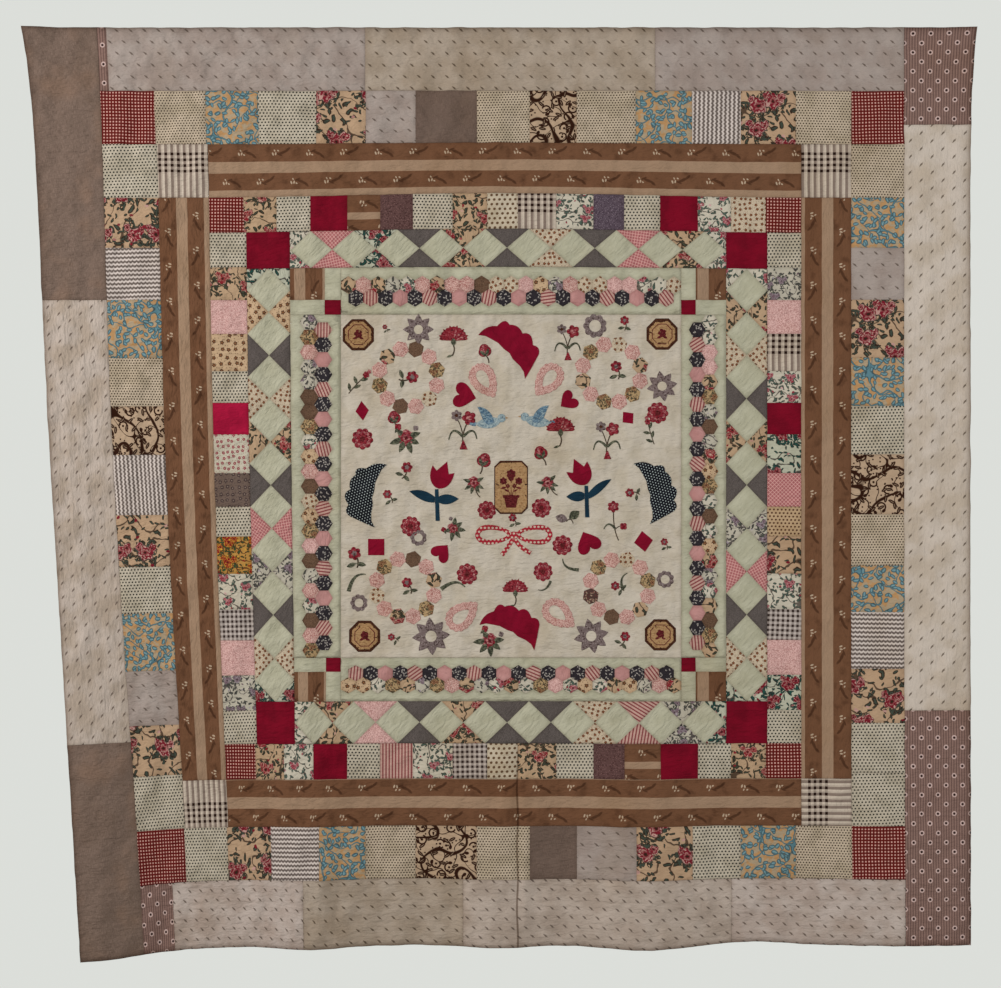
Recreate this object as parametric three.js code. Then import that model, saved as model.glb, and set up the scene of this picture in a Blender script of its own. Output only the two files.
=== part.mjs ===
// Applique frame quilt: borders of pieced cloth, one inside the other, round a centre ground
// with cut-out cloth shapes sewn on. It hangs by its top edge.
// Millimetres, +X to the right as the front is seen, +Z up, +Y towards the back.
// The origin is the middle of the top edge, on the back of the cloth.
import * as THREE from "three";

const THICKNESS = 3; // top, thin filling and backing, quilted together
const APPLIQUE_THICKNESS = 0.8;
const SEAM_GAP = 0.3;
const PATCH_RISE = 1.2; // how far the middle of a patch stands above its seams
const CHANNEL_RISE = 0.9; // quilted channels that follow the lower hem
const FIELD_PUCKER = 0.6; // how far the centre ground sinks at its quilting
const ROUGHNESS = 0.92;

// Widths of the borders on each side, from the hem inwards.
const BORDERS = [
  { left: 194, right: 188, top: 180, bottom: 188 }, // outer border
  { left: 160, right: 151, top: 152, bottom: 151 }, // big squares
  { left: 148, right: 142, top: 152, bottom: 134 }, // brown stripe
  { left: 108, right: 97, top: 100, bottom: 100 }, // small squares
  { left: 128, right: 117, top: 103, bottom: 120 }, // diamonds
  { left: 151, right: 128, top: 131, bottom: 124 }, // hexagons
];
const FIELD = { width: 969, height: 976 };
const PATCHES = { bigAcross: 15, bigDown: 13, smallAcross: 17, smallDown: 15, diamonds: 10 };
const PATCH_WANDER = 0.09; // the seams between patches are this much off an even pitch
const CELL = 105; // longest stretch of plain cloth between two rows of points
const CHANNELS = 9;
const HEXAGON_ROWS = [0.16, 0.31, 0.47, 0.63, 0.79]; // strip seams and hexagon row middles
const FIELD_CELLS = 12;

// The sides lean inwards as they fall on the left; both top corners flare outwards.
const LEAN = { seam: 140, seamBow: 20, hem: 162, hemBow: 15 };
const FLARE = { width: 17, reach: 130 };
const CORNER_DROOP = 34; // the lower left corner hangs below the rest of the hem
const SEAM_BOW = { rise: 13, middle: 520, reach: 190, halfWidth: 900 };

// Soft folds that stand forward: across is the place on the plan, from is where a fold starts,
// and it is whole at the hem, or at full; drop is how much lower the hem hangs there.
const FOLDS = [
  { across: -1300, width: 170, depth: 70, from: 1300, drop: 0 },
  { across: -560, width: 150, depth: 38, from: 1500, drop: 6 },
  { across: 0, width: 120, depth: 26, from: 1750, drop: 4 },
  { across: 412, width: 150, depth: 45, from: 1650, drop: 6 },
  { across: 728, width: 130, depth: 0, from: 1900, drop: -10 },
  { across: 1140, width: 200, depth: 18, from: 1600, drop: 0 },
  { across: -1340, width: 70, depth: 16, from: 300, full: 0, drop: 0 },
  { across: 1340, width: 60, depth: 10, from: 260, full: 0, drop: 0 },
];

// Lengths of cloth joined to make the outer border, from the top or the left of each side.
// The last one of a side takes what is left.
const OUTER_PIECES = [
  { name: "outer_left_upper", side: "left", length: 775, cloth: "greyBrown" },
  { name: "outer_left_middle", side: "left", length: 1248, cloth: "lilacSprig" },
  { name: "outer_left_lower", side: "left", length: null, cloth: "greyBrown" },
  { name: "outer_top_tab", side: "top", length: 26, cloth: "mauveRings" },
  { name: "outer_top_left", side: "top", length: 738, cloth: "lilacSprig" },
  { name: "outer_top_middle", side: "top", length: 826, cloth: "beigeSprig" },
  { name: "outer_top_right", side: "top", length: null, cloth: "lilacSprig" },
  { name: "outer_right_upper", side: "right", length: 276, cloth: "mauveRings" },
  { name: "outer_right_middle", side: "right", length: 1668, cloth: "beigeSprig" },
  { name: "outer_right_lower", side: "right", length: null, cloth: "mauveRings" },
  { name: "outer_bottom_tab", side: "bottom", length: 106, cloth: "mauveRings" },
  { name: "outer_bottom_left", side: "bottom", length: 460, cloth: "lilacSprig" },
  { name: "outer_bottom_middle", side: "bottom", length: 477, cloth: "beigeSprig" },
  { name: "outer_bottom_grey", side: "bottom", length: 764, cloth: "greySprig" },
  { name: "outer_bottom_right", side: "bottom", length: null, cloth: "lilacSprig" },
];

const CLOTHS = {
  greyBrown: "#7a6a5f",
  lilacSprig: "#aba19b",
  beigeSprig: "#b5a694",
  greySprig: "#a49a90",
  mauveRings: "#7b605c",
  bigPatchwork: "#b9a988",
  smallPatchwork: "#a88f80",
  brownStripe: "#86674e",
  plaid: "#a59a8e",
  diamondPatchwork: "#b0968a",
  hexagonPatchwork: "#b58f86",
  redCloth: "#7d0f22",
  brownPatch: "#7c5a43",
  ground: "#c3b9a4",
  crimson: "#a3182f",
  navyDot: "#1e2a3a",
  teal: "#1f4356",
};

// Cut-out shapes sewn to the centre ground, placed from its middle.
const APPLIQUE = [
  { name: "crescent_top", shape: crescent(91, 1), across: -27, down: -368, turn: -43, cloth: "crimson" },
  { name: "crescent_bottom", shape: crescent(86, 1), across: -12, down: 431, turn: -25, cloth: "crimson" },
  { name: "crescent_left", shape: crescent(91, -1), across: -371, down: 28, turn: 79, cloth: "navyDot" },
  { name: "crescent_right", shape: crescent(89, 1), across: 372, down: 22, turn: -75, cloth: "navyDot" },
  { name: "heart_upper_left", shape: heart(72), across: -133, down: -258, turn: 77, cloth: "crimson" },
  { name: "heart_upper_right", shape: heart(56), across: 163, down: -243, turn: -54, cloth: "crimson" },
  { name: "heart_lower_left", shape: heart(57), across: -198, down: 188, turn: 140, cloth: "crimson" },
  { name: "heart_lower_right", shape: heart(70), across: 219, down: 160, turn: 205, cloth: "crimson" },
  { name: "tulip_head_left", shape: tulipHead(), across: -212, down: 8, turn: -21, cloth: "crimson" },
  { name: "tulip_head_right", shape: tulipHead(), across: 214, down: -2, turn: 25, cloth: "crimson" },
  { name: "tulip_leaves_left", shape: tulipLeaves(-78, -6, 63, -28), across: -212, down: 8, turn: 0, cloth: "teal" },
  { name: "tulip_leaves_right", shape: tulipLeaves(-57, -32, 72, 18), across: 214, down: -2, turn: 0, cloth: "teal" },
];

function areaInside(area, border) {
  return {
    left: area.left + border.left,
    right: area.right - border.right,
    top: area.top + border.top,
    bottom: area.bottom - border.bottom,
  };
}

// The plan of the quilt laid flat: the outline of each border, then of the centre ground.
const planWidth = BORDERS.reduce((sum, border) => sum + border.left + border.right, FIELD.width);
const planHeight = BORDERS.reduce((sum, border) => sum + border.top + border.bottom, FIELD.height);
const outlines = [{ left: -planWidth / 2, right: planWidth / 2, top: 0, bottom: planHeight }];
for (const border of BORDERS) outlines.push(areaInside(outlines.at(-1), border));
const [hem, bigSquares, stripe, smallSquares, diamonds, hexagons, field] = outlines;
const fieldMiddle = {
  across: (field.left + field.right) / 2,
  down: (field.top + field.bottom) / 2,
};

// 0 up to `from`, 1 past `to`, with soft ends; `to` may be the smaller one.
function softStep(value, from, to) {
  const share = THREE.MathUtils.clamp((value - from) / (to - from), 0, 1);
  return share * share * (3 - 2 * share);
}

function bell(distance, width) {
  return Math.exp(-((distance / width) ** 2));
}

function foldDepth(across, down) {
  let depth = 0;
  for (const fold of FOLDS) {
    const grown = softStep(down, fold.from, fold.full ?? planHeight);
    depth += fold.depth * grown * bell(across - fold.across, fold.width);
  }
  return depth;
}

function hemDrop(across, down) {
  let drop = 0;
  for (const fold of FOLDS) drop += fold.drop * bell(across - fold.across, fold.width);
  return drop * softStep(down, bigSquares.bottom, hem.bottom);
}

// How far a point of the plan moves sideways when the quilt hangs.
function sideways(across, down) {
  const share = down / planHeight;
  const bow = Math.sin(Math.PI * share) ** 2;
  const flare = FLARE.width * Math.exp(-down / FLARE.reach);
  const seamLean = LEAN.seam * share - LEAN.seamBow * bow;
  const hemLean = LEAN.hem * share - LEAN.hemBow * bow - flare;
  if (across > bigSquares.right) {
    return (flare * (across - bigSquares.right)) / (hem.right - bigSquares.right);
  }
  if (across < bigSquares.left) {
    const outwards = (bigSquares.left - across) / (bigSquares.left - hem.left);
    return THREE.MathUtils.lerp(seamLean, hemLean, outwards);
  }
  return (seamLean * Math.max(0, field.left - across)) / (field.left - bigSquares.left);
}

// How far a point of the plan moves down when the quilt hangs.
function lowered(across, down) {
  const toLeft = Math.max(0, field.left - across) / (field.left - hem.left);
  const toBottom = down / planHeight;
  const droop = CORNER_DROOP * toLeft ** 2 * toBottom ** 3;
  const along = THREE.MathUtils.clamp(across / SEAM_BOW.halfWidth, -1, 1);
  const arch = Math.cos((along * Math.PI) / 2) ** 2 * bell(down - SEAM_BOW.middle, SEAM_BOW.reach);
  return droop + hemDrop(across, down) - SEAM_BOW.rise * arch;
}

// The place in space of a point of the plan, `out` in front of the back of the cloth.
function hang(across, down, out) {
  return new THREE.Vector3(
    across + sideways(across, down),
    -foldDepth(across, down) - out,
    -down - lowered(across, down),
  );
}

function evenLines(from, to, cells) {
  return Array.from({ length: cells + 1 }, (_, k) => THREE.MathUtils.lerp(from, to, k / cells));
}

function plainLines(from, to) {
  return evenLines(from, to, Math.max(2, Math.ceil((to - from) / CELL)));
}

// Seams and middles of a row of patches, whose seams wander a little.
function patchLines(from, to, patches) {
  return evenLines(from, to, 2 * patches).map((line, k) => {
    const wander = Math.sin(0.95 * k) * Math.sin((Math.PI * k) / (2 * patches));
    return line + (PATCH_WANDER * wander * (to - from)) / patches;
  });
}

// A rectangle of the plan as a thin box whose points follow the hanging cloth.
// relief gives the height of a point of the front; turned picks the cells whose diagonal is turned.
function clothPanel({ name, area, columns, rows, cloth, relief = () => 0, turned = null }) {
  const across = insetEnds(columns ?? plainLines(area.left, area.right));
  const down = insetEnds(rows ?? plainLines(area.top, area.bottom));
  const wide = across.length - 1;
  const high = down.length - 1;
  const geometry = new THREE.BoxGeometry(1, 1, 1, wide, high, 1);
  const position = geometry.getAttribute("position");
  for (let k = 0; k < position.count; k += 1) {
    const column = Math.round((position.getX(k) + 0.5) * wide);
    const row = Math.round((0.5 - position.getY(k)) * high);
    const out = position.getZ(k) > 0 ? THICKNESS + relief(column, row) : 0;
    position.setXYZ(k, ...hang(across[column], down[row], out));
  }
  if (turned !== null) turnDiagonals(geometry, wide, turned);
  return clothMesh(name, geometry, cloth);
}

function insetEnds(lines) {
  const inset = [...lines];
  inset[0] += SEAM_GAP / 2;
  inset[inset.length - 1] -= SEAM_GAP / 2;
  return inset;
}

// Turns the diagonal of every second cell of the front face, so that it follows a seam or a ridge.
function turnDiagonals(geometry, wide, turned) {
  const front = geometry.groups[4];
  const index = geometry.getIndex();
  for (let k = 0; k < front.count; k += 6) {
    const cell = k / 6;
    const column = cell % wide;
    const row = Math.floor(cell / wide);
    if ((column + row) % 2 !== turned) continue;
    const start = front.start + k;
    const first = index.getX(start);
    const third = index.getX(start + 4);
    index.setX(start + 2, third);
    index.setX(start + 3, first);
  }
}

function clothMesh(name, geometry, cloth) {
  geometry.computeVertexNormals();
  const material = new THREE.MeshStandardMaterial({
    color: CLOTHS[cloth],
    roughness: ROUGHNESS,
    metalness: 0,
  });
  const mesh = new THREE.Mesh(geometry, material);
  mesh.name = name;
  return mesh;
}

const odd = (k) => k % 2 === 1;
const patchRelief = (column, row) => (odd(column) && odd(row) ? PATCH_RISE : 0);
const channelRelief = (column, row) => (odd(row) ? CHANNEL_RISE : 0);
const fieldRelief = (column, row) => (odd(column + row) ? -FIELD_PUCKER : 0);
const TO_MIDDLE = 0; // cells whose turned diagonals meet in the middle of a patch
const ON_SEAMS = 1; // cells whose turned diagonals lie on the slanting seams of a diamond

// The four sides of a border and its four corners.
function sidesOf(outer, inner) {
  const { left, right, top, bottom } = inner;
  return {
    top: { left, right, top: outer.top, bottom: top },
    bottom: { left, right, top: bottom, bottom: outer.bottom },
    left: { left: outer.left, right: left, top, bottom },
    right: { left: right, right: outer.right, top, bottom },
  };
}

function cornersOf(outer, inner) {
  const ends = {
    left: { left: outer.left, right: inner.left },
    right: { left: inner.right, right: outer.right },
    top: { top: outer.top, bottom: inner.top },
    bottom: { top: inner.bottom, bottom: outer.bottom },
  };
  return {
    top_left: { ...ends.top, ...ends.left },
    top_right: { ...ends.top, ...ends.right },
    bottom_left: { ...ends.bottom, ...ends.left },
    bottom_right: { ...ends.bottom, ...ends.right },
  };
}

const lyingSide = (side) => side === "top" || side === "bottom";

// The upright sides of the outer border run from the top edge to the lower hem.
function outerBorder() {
  const sides = sidesOf(hem, bigSquares);
  const reached = { top: bigSquares.left, bottom: bigSquares.left, left: hem.top, right: hem.top };
  return OUTER_PIECES.map(({ name, side, length, cloth }) => {
    const lying = lyingSide(side);
    const from = reached[side];
    const end = lying ? bigSquares.right : hem.bottom;
    const to = length === null ? end : from + length;
    reached[side] = to;
    const run = lying ? { left: from, right: to } : { top: from, bottom: to };
    const area = { ...sides[side], ...run };
    if (side !== "bottom") return clothPanel({ name, area, cloth });
    const rows = evenLines(area.top, area.bottom, 2 * CHANNELS);
    return clothPanel({ name, area, rows, cloth, relief: channelRelief });
  });
}

// A border of square patches; its top and bottom strips run over the corners.
function squareBorder(name, outer, inner, patchesAcross, patchesDown, cloth) {
  const sides = sidesOf(outer, inner);
  return Object.entries(sides).map(([side, between]) => {
    const lying = lyingSide(side);
    const area = lying ? { ...between, left: outer.left, right: outer.right } : between;
    const columns = patchLines(area.left, area.right, lying ? patchesAcross : 1);
    const rows = patchLines(area.top, area.bottom, lying ? 1 : patchesDown);
    const panel = { name: `${name}_${side}`, area, columns, rows, cloth };
    return clothPanel({ ...panel, relief: patchRelief, turned: TO_MIDDLE });
  });
}

function stripeBorder() {
  return Object.entries(sidesOf(stripe, smallSquares)).map(([side, area]) =>
    clothPanel({ name: `stripe_${side}`, area, cloth: "brownStripe" }),
  );
}

function diamondBorder() {
  return Object.entries(sidesOf(diamonds, hexagons)).map(([side, area]) => {
    const lying = lyingSide(side);
    const columns = evenLines(area.left, area.right, lying ? 2 * PATCHES.diamonds : 2);
    const rows = evenLines(area.top, area.bottom, lying ? 2 : 2 * PATCHES.diamonds);
    const panel = { name: `diamonds_${side}`, area, columns, rows, cloth: "diamondPatchwork" };
    return clothPanel({ ...panel, relief: patchRelief, turned: ON_SEAMS });
  });
}

// Two rows of hexagons between two narrow strips: a ridge along the middle of each row.
function hexagonBorder() {
  return Object.entries(sidesOf(hexagons, field)).map(([side, area]) => {
    const lying = lyingSide(side);
    const [near, far] = lying ? [area.top, area.bottom] : [area.left, area.right];
    const outerFirst = side === "top" || side === "left";
    const shares = outerFirst ? HEXAGON_ROWS : HEXAGON_ROWS.map((share) => 1 - share).reverse();
    const acrossBorder = [0, ...shares, 1].map((share) => THREE.MathUtils.lerp(near, far, share));
    const lines = lying ? { rows: acrossBorder } : { columns: acrossBorder };
    const ridge = (k) => (k === 2 || k === 4 ? PATCH_RISE : 0);
    const relief = (column, row) => ridge(lying ? row : column);
    return clothPanel({ name: `hexagons_${side}`, area, ...lines, cloth: "hexagonPatchwork", relief });
  });
}

function cornerPatches(name, outer, inner, cloth) {
  return Object.entries(cornersOf(outer, inner)).map(([corner, area]) =>
    clothPanel({ name: `${name}_${corner}`, area, cloth, relief: patchRelief, turned: TO_MIDDLE }),
  );
}

function centreGround() {
  return clothPanel({
    name: "centre_ground",
    area: field,
    columns: evenLines(field.left, field.right, FIELD_CELLS),
    rows: evenLines(field.top, field.bottom, FIELD_CELLS),
    cloth: "ground",
    relief: fieldRelief,
  });
}

// A crescent about the middle of its chord: a curve to each valley between its lobes, then its wavy inner edge.
// Lengths are shares of half the chord; side is -1 for a crescent that is turned over.
function crescent(halfChord, side) {
  const curves = [
    { bend: [-1.04, 0.39], end: [-0.76, 0.61] },
    { bend: [-0.77, 1.0], end: [-0.5, 0.9] },
    { bend: [-0.3, 1.12], end: [-0.02, 0.98] },
    { bend: [0.16, 1.26], end: [0.46, 0.94] },
    { bend: [0.69, 1.07], end: [0.8, 0.84] },
    { bend: [0.92, 0.4], end: [1, 0] },
  ];
  const innerEdge = [
    [0.82, 0.14],
    [0.6, 0.19],
    [0.3, 0.19],
    [0.1, 0.26],
    [-0.1, 0.23],
    [-0.37, 0.25],
    [-0.58, 0.2],
    [-0.82, 0.135],
  ];
  const placed = ([across, up]) => [side * halfChord * across, halfChord * up];
  const shape = new THREE.Shape();
  shape.moveTo(-side * halfChord, 0);
  for (const { bend, end } of curves) {
    shape.quadraticCurveTo(...placed(bend), ...placed(end));
  }
  for (const point of innerEdge) {
    shape.lineTo(...placed(point));
  }
  return shape;
}

function heart(width) {
  const half = width / 2;
  const shape = new THREE.Shape();
  shape.moveTo(0, -0.95 * half);
  shape.bezierCurveTo(-0.5 * half, -0.45 * half, -half, -0.1 * half, -half, 0.35 * half);
  shape.bezierCurveTo(-half, 0.95 * half, -0.15 * half, 0.95 * half, 0, 0.4 * half);
  shape.bezierCurveTo(0.15 * half, 0.95 * half, half, 0.95 * half, half, 0.35 * half);
  shape.bezierCurveTo(half, -0.1 * half, 0.5 * half, -0.45 * half, 0, -0.95 * half);
  return shape;
}

// A tulip is drawn about the top of its stem: the cup above, the leaves and the stem below.
function tulipHead() {
  const shape = new THREE.Shape();
  shape.moveTo(-4, 3.2);
  shape.quadraticCurveTo(-37, 14, -35, 59);
  shape.lineTo(-19, 49);
  shape.lineTo(0, 84);
  shape.lineTo(17, 52);
  shape.lineTo(31, 61);
  shape.quadraticCurveTo(38, 14, 5, 3.2);
  return shape;
}

// The leaves grow out of the stem to a tip on each side; a leaf's control points lie beside its middle.
function tulipLeaves(leftAcross, leftUp, rightAcross, rightUp) {
  const fork = -30;
  const halfLeaf = 24;
  const foot = { across: 3, up: -90, half: 6 };
  const shape = new THREE.Shape();
  shape.moveTo(-5, -0.5);
  shape.lineTo(-6, fork + 8);
  shape.quadraticCurveTo(leftAcross / 2, (leftUp + fork) / 2 + halfLeaf, leftAcross, leftUp);
  shape.quadraticCurveTo(leftAcross / 2, (leftUp + fork) / 2 - halfLeaf, -6, fork - 8);
  shape.lineTo(foot.across - foot.half, foot.up);
  shape.lineTo(foot.across + foot.half, foot.up);
  shape.lineTo(6, fork - 8);
  shape.quadraticCurveTo(rightAcross / 2, (rightUp + fork) / 2 - halfLeaf, rightAcross, rightUp);
  shape.quadraticCurveTo(rightAcross / 2, (rightUp + fork) / 2 + halfLeaf, 6, fork + 8);
  shape.lineTo(5, -0.5);
  return shape;
}

// A cut-out shape, warped onto the hanging cloth just in front of the centre ground.
function appliquePiece({ name, shape, across, down, turn, cloth }) {
  const options = { depth: APPLIQUE_THICKNESS, bevelEnabled: false, curveSegments: 6 };
  const geometry = new THREE.ExtrudeGeometry(shape, options);
  geometry.rotateZ(THREE.MathUtils.degToRad(turn));
  const position = geometry.getAttribute("position");
  for (let k = 0; k < position.count; k += 1) {
    const planAcross = fieldMiddle.across + across + position.getX(k);
    const planDown = fieldMiddle.down + down - position.getY(k);
    const out = THICKNESS + SEAM_GAP + position.getZ(k);
    position.setXYZ(k, ...hang(planAcross, planDown, out));
  }
  return clothMesh(name, geometry, cloth);
}

const { bigAcross, bigDown, smallAcross, smallDown } = PATCHES;
const quilt = new THREE.Group();
quilt.add(
  ...outerBorder(),
  ...squareBorder("big_squares", bigSquares, stripe, bigAcross, bigDown, "bigPatchwork"),
  ...stripeBorder(),
  ...cornerPatches("plaid_corner", stripe, smallSquares, "plaid"),
  ...squareBorder("small_squares", smallSquares, diamonds, smallAcross, smallDown, "smallPatchwork"),
  ...diamondBorder(),
  ...cornerPatches("red_corner", diamonds, hexagons, "redCloth"),
  ...hexagonBorder(),
  ...cornerPatches("brown_corner", hexagons, field, "brownPatch"),
  centreGround(),
  ...APPLIQUE.map(appliquePiece),
);

export default quilt;
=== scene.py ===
"""A frame quilt of pieced and appliqued cotton that hangs by its top edge.

The plan of the quilt is in millimetres: across from the middle, down from the top edge.
Blender's own coordinates are metres, +X to the right, +Z up, +Y towards the back.
"""

import math
from collections import namedtuple

import bpy
import numpy as np
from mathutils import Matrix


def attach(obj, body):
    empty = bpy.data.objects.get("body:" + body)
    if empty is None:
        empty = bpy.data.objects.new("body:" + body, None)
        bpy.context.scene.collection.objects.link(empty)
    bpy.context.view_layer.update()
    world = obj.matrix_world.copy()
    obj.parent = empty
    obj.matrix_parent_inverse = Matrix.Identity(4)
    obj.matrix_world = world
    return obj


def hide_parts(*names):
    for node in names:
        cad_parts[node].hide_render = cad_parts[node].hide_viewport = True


bl_info = {
    "name": "Applique Frame Quilt",
    "version": (1, 0, 0),
    "blender": (4, 5, 0),
    "location": "3D View > Sidebar > Quilt",
    "description": "Builds a hanging frame quilt with pieced borders and cut-out cloth shapes",
    "category": "Object",
}

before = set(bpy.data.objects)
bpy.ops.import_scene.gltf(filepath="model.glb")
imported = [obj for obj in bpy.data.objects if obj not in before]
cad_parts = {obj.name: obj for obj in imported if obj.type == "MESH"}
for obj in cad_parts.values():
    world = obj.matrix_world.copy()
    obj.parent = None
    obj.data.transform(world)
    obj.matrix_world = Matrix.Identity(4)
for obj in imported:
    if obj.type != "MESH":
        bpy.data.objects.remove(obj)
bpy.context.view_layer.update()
BODY = "root"
MM = 0.001

# The plan of the quilt

Area = namedtuple("Area", "left right top bottom")

# Widths of the borders at the left, right, top and bottom, from the hem inwards.
BORDERS = (
    Area(194, 188, 180, 188),
    Area(160, 151, 152, 151),
    Area(148, 142, 152, 134),
    Area(108, 97, 100, 100),
    Area(128, 117, 103, 120),
    Area(151, 128, 131, 124),
)
FIELD_WIDTH = 969
FIELD_HEIGHT = 976
PLAN_WIDTH = sum(border.left + border.right for border in BORDERS) + FIELD_WIDTH
PLAN_HEIGHT = sum(border.top + border.bottom for border in BORDERS) + FIELD_HEIGHT
PATCH_WANDER = 0.09

LEAN = {"seam": 140, "seam_bow": 20, "hem": 162, "hem_bow": 15}
FLARE = {"width": 17, "reach": 130}
CORNER_DROOP = 34
SEAM_BOW = {"rise": 13, "middle": 520, "reach": 190, "half_width": 900}

# Soft folds that stand forward: place across, width, depth, where it starts, where it is whole, hem drop.
FOLDS = (
    (-1300, 170, 70, 1300, PLAN_HEIGHT, 0),
    (-560, 150, 38, 1500, PLAN_HEIGHT, 6),
    (0, 120, 26, 1750, PLAN_HEIGHT, 4),
    (412, 150, 45, 1650, PLAN_HEIGHT, 6),
    (728, 130, 0, 1900, PLAN_HEIGHT, -10),
    (1140, 200, 18, 1600, PLAN_HEIGHT, 0),
    (-1340, 70, 16, 300, 0, 0),
    (1340, 60, 10, 260, 0, 0),
)

# Creases, listed one by one: start and end on the plan, half width and depth, forward if positive.
CREASES = (
    (50, 2000, 52, 2600, 11, -4.2),
    (70, 2010, 74, 2600, 12, 3.6),
    (728, 20, 722, 170, 7, -2.6),
    (-1250, 300, -1225, 780, 16, 2.6),
    (-1290, 900, -1262, 1900, 14, 2.8),
    (-1205, 820, -1215, 2000, 12, -2.2),
    (-430, 2240, -470, 2600, 14, -3.0),
    (-700, 2260, -760, 2600, 16, 3.2),
    (-250, 2130, -300, 2600, 16, 2.6),
    (-600, 2080, -560, 2420, 14, -2.4),
    (200, 2100, 190, 2560, 14, -2.4),
    (330, 2300, 360, 2600, 12, -2.8),
    (560, 2240, 610, 2600, 15, 3.0),
    (760, 2260, 800, 2600, 13, -2.4),
    (980, 2250, 1030, 2600, 14, 2.4),
    (-1000, 60, -1040, 178, 10, 2.0),
    (-500, 20, -540, 170, 12, 1.6),
    (1218, 400, 1236, 1800, 15, 2.2),
    (1130, 900, 1110, 1700, 12, -1.8),
    (-452, 905, -20, 930, 10, 1.2),
    (60, 1755, 510, 1735, 10, 1.4),
    (35, 830, 28, 1780, 8, -1.3),
)

OUTLINES = [Area(-PLAN_WIDTH / 2, PLAN_WIDTH / 2, 0, PLAN_HEIGHT)]
for border in BORDERS:
    left, right, top, bottom = OUTLINES[-1]
    OUTLINES.append(
        Area(left + border.left, right - border.right, top + border.top, bottom - border.bottom)
    )
HEM, BIG_SQUARES, STRIPE, SMALL_SQUARES, DIAMONDS, HEXAGONS, FIELD = OUTLINES


def middle_of(area):
    return ((area.left + area.right) / 2, (area.top + area.bottom) / 2)


FIELD_MIDDLE = np.array(middle_of(FIELD))


def soft_step(value, start, end):
    """0 up to start and 1 past end, with soft ends."""
    share = np.clip((value - start) / (end - start), 0.0, 1.0)
    return share * share * (3.0 - 2.0 * share)


def bell(distance, width):
    return np.exp(-((distance / width) ** 2))


def fold_depth(across, down):
    return sum(
        depth * soft_step(down, start, whole) * bell(across - place, width)
        for place, width, depth, start, whole, _drop in FOLDS
    )


def hem_drop(across, down):
    drop = sum(fall * bell(across - place, width) for place, width, _depth, _start, _whole, fall in FOLDS)
    return drop * soft_step(down, BIG_SQUARES.bottom, HEM.bottom)


def sideways(across, down):
    """How far a point of the plan moves to the right when the quilt hangs."""
    share = down / PLAN_HEIGHT
    bow = np.sin(np.pi * np.clip(share, 0, 1)) ** 2
    flare = FLARE["width"] * np.exp(-down / FLARE["reach"])
    seam_lean = LEAN["seam"] * share - LEAN["seam_bow"] * bow
    hem_lean = LEAN["hem"] * share - LEAN["hem_bow"] * bow - flare
    right_share = (across - BIG_SQUARES.right) / (HEM.right - BIG_SQUARES.right)
    left_share = (BIG_SQUARES.left - across) / (BIG_SQUARES.left - HEM.left)
    inner_share = np.maximum(0, FIELD.left - across) / (FIELD.left - BIG_SQUARES.left)
    left_move = seam_lean + (hem_lean - seam_lean) * left_share
    inside = np.where(left_share > 0, left_move, seam_lean * inner_share)
    return np.where(right_share > 0, flare * right_share, inside)


def lowered(across, down):
    """How far a point of the plan moves down when the quilt hangs."""
    to_left = np.maximum(0, FIELD.left - across) / (FIELD.left - HEM.left)
    droop = CORNER_DROOP * to_left**2 * (down / PLAN_HEIGHT) ** 3
    along = np.clip(across / SEAM_BOW["half_width"], -1, 1)
    arch = np.cos(along * np.pi / 2) ** 2 * bell(down - SEAM_BOW["middle"], SEAM_BOW["reach"])
    return droop + hem_drop(across, down) - SEAM_BOW["rise"] * arch


# Length, heading, phase and share of each of the fine wrinkles.
WRINKLE_SEED = 11
WRINKLE_COUNT = 34
WRINKLE_LENGTHS = (24.0, 150.0)
WRINKLE_STEEPNESS = 0.0078
ripple_draw = np.random.default_rng(WRINKLE_SEED)
RIPPLES = [
    (length, *(ripple_draw.uniform(*limits) for limits in ((0, math.pi), (0, 2 * math.pi), (0.6, 1.0))))
    for length in np.geomspace(*WRINKLE_LENGTHS, WRINKLE_COUNT)
]


def wrinkles(across, down):
    """Low uneven ripples of the cloth; the long ones are the higher ones."""
    height = np.zeros_like(across)
    for length, heading, phase, share in RIPPLES:
        wave = 2 * math.pi / length
        c, s = math.cos(heading), math.sin(heading)
        bend = 0.35 * np.sin((down * c - across * s) * wave * 0.6 + phase)
        height += WRINKLE_STEEPNESS * length * share * np.sin((across * c + down * s) * wave + phase + bend)
    return height


def creases(across, down):
    height = np.zeros_like(across)
    for start_across, start_down, end_across, end_down, half_width, depth in CREASES:
        run = np.array([end_across - start_across, end_down - start_down], float)
        x, y = across - start_across, down - start_down
        along = np.clip((x * run[0] + y * run[1]) / (run @ run), 0, 1)
        distance = np.hypot(x - along * run[0], y - along * run[1])
        ends = soft_step(along, 0.0, 0.2) * soft_step(along, 1.0, 0.85)
        height += depth * bell(distance, half_width) * ends
    return height


def hang(plan, out):
    """Places in metres of points of the plan, `out` millimetres in front of the back of the cloth."""
    across, down = plan.T
    forward = out + fold_depth(across, down) + wrinkles(across, down) + creases(across, down)
    places = (across + sideways(across, down), -forward, -down - lowered(across, down))
    return np.stack(places, axis=1) * MM


# Quilting: the lower border and the ground have their own lines.

FIELD_ROW = 31.0
FIELD_EASE = 12
PILLOW_REACH = 9.0
DITCH_REACH = 2.4
PUCKER = 0.3


def channels(across, down, sizes):
    """Rows of quilting that follow the lower hem."""
    depth = (down - BIG_SQUARES.bottom) / (HEM.bottom - BIG_SQUARES.bottom)
    wander = 0.06 * np.sin(across / 47.0) + 0.05 * np.sin(across / 23.0 + 1.3)
    wave = np.abs(np.sin(np.pi * (sizes.channels * np.clip(depth, 0, 1) + wander)))
    return soft_step(depth, -0.02, 0.03) * sizes.channel_rise / MM * (wave - 1.0)


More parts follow.
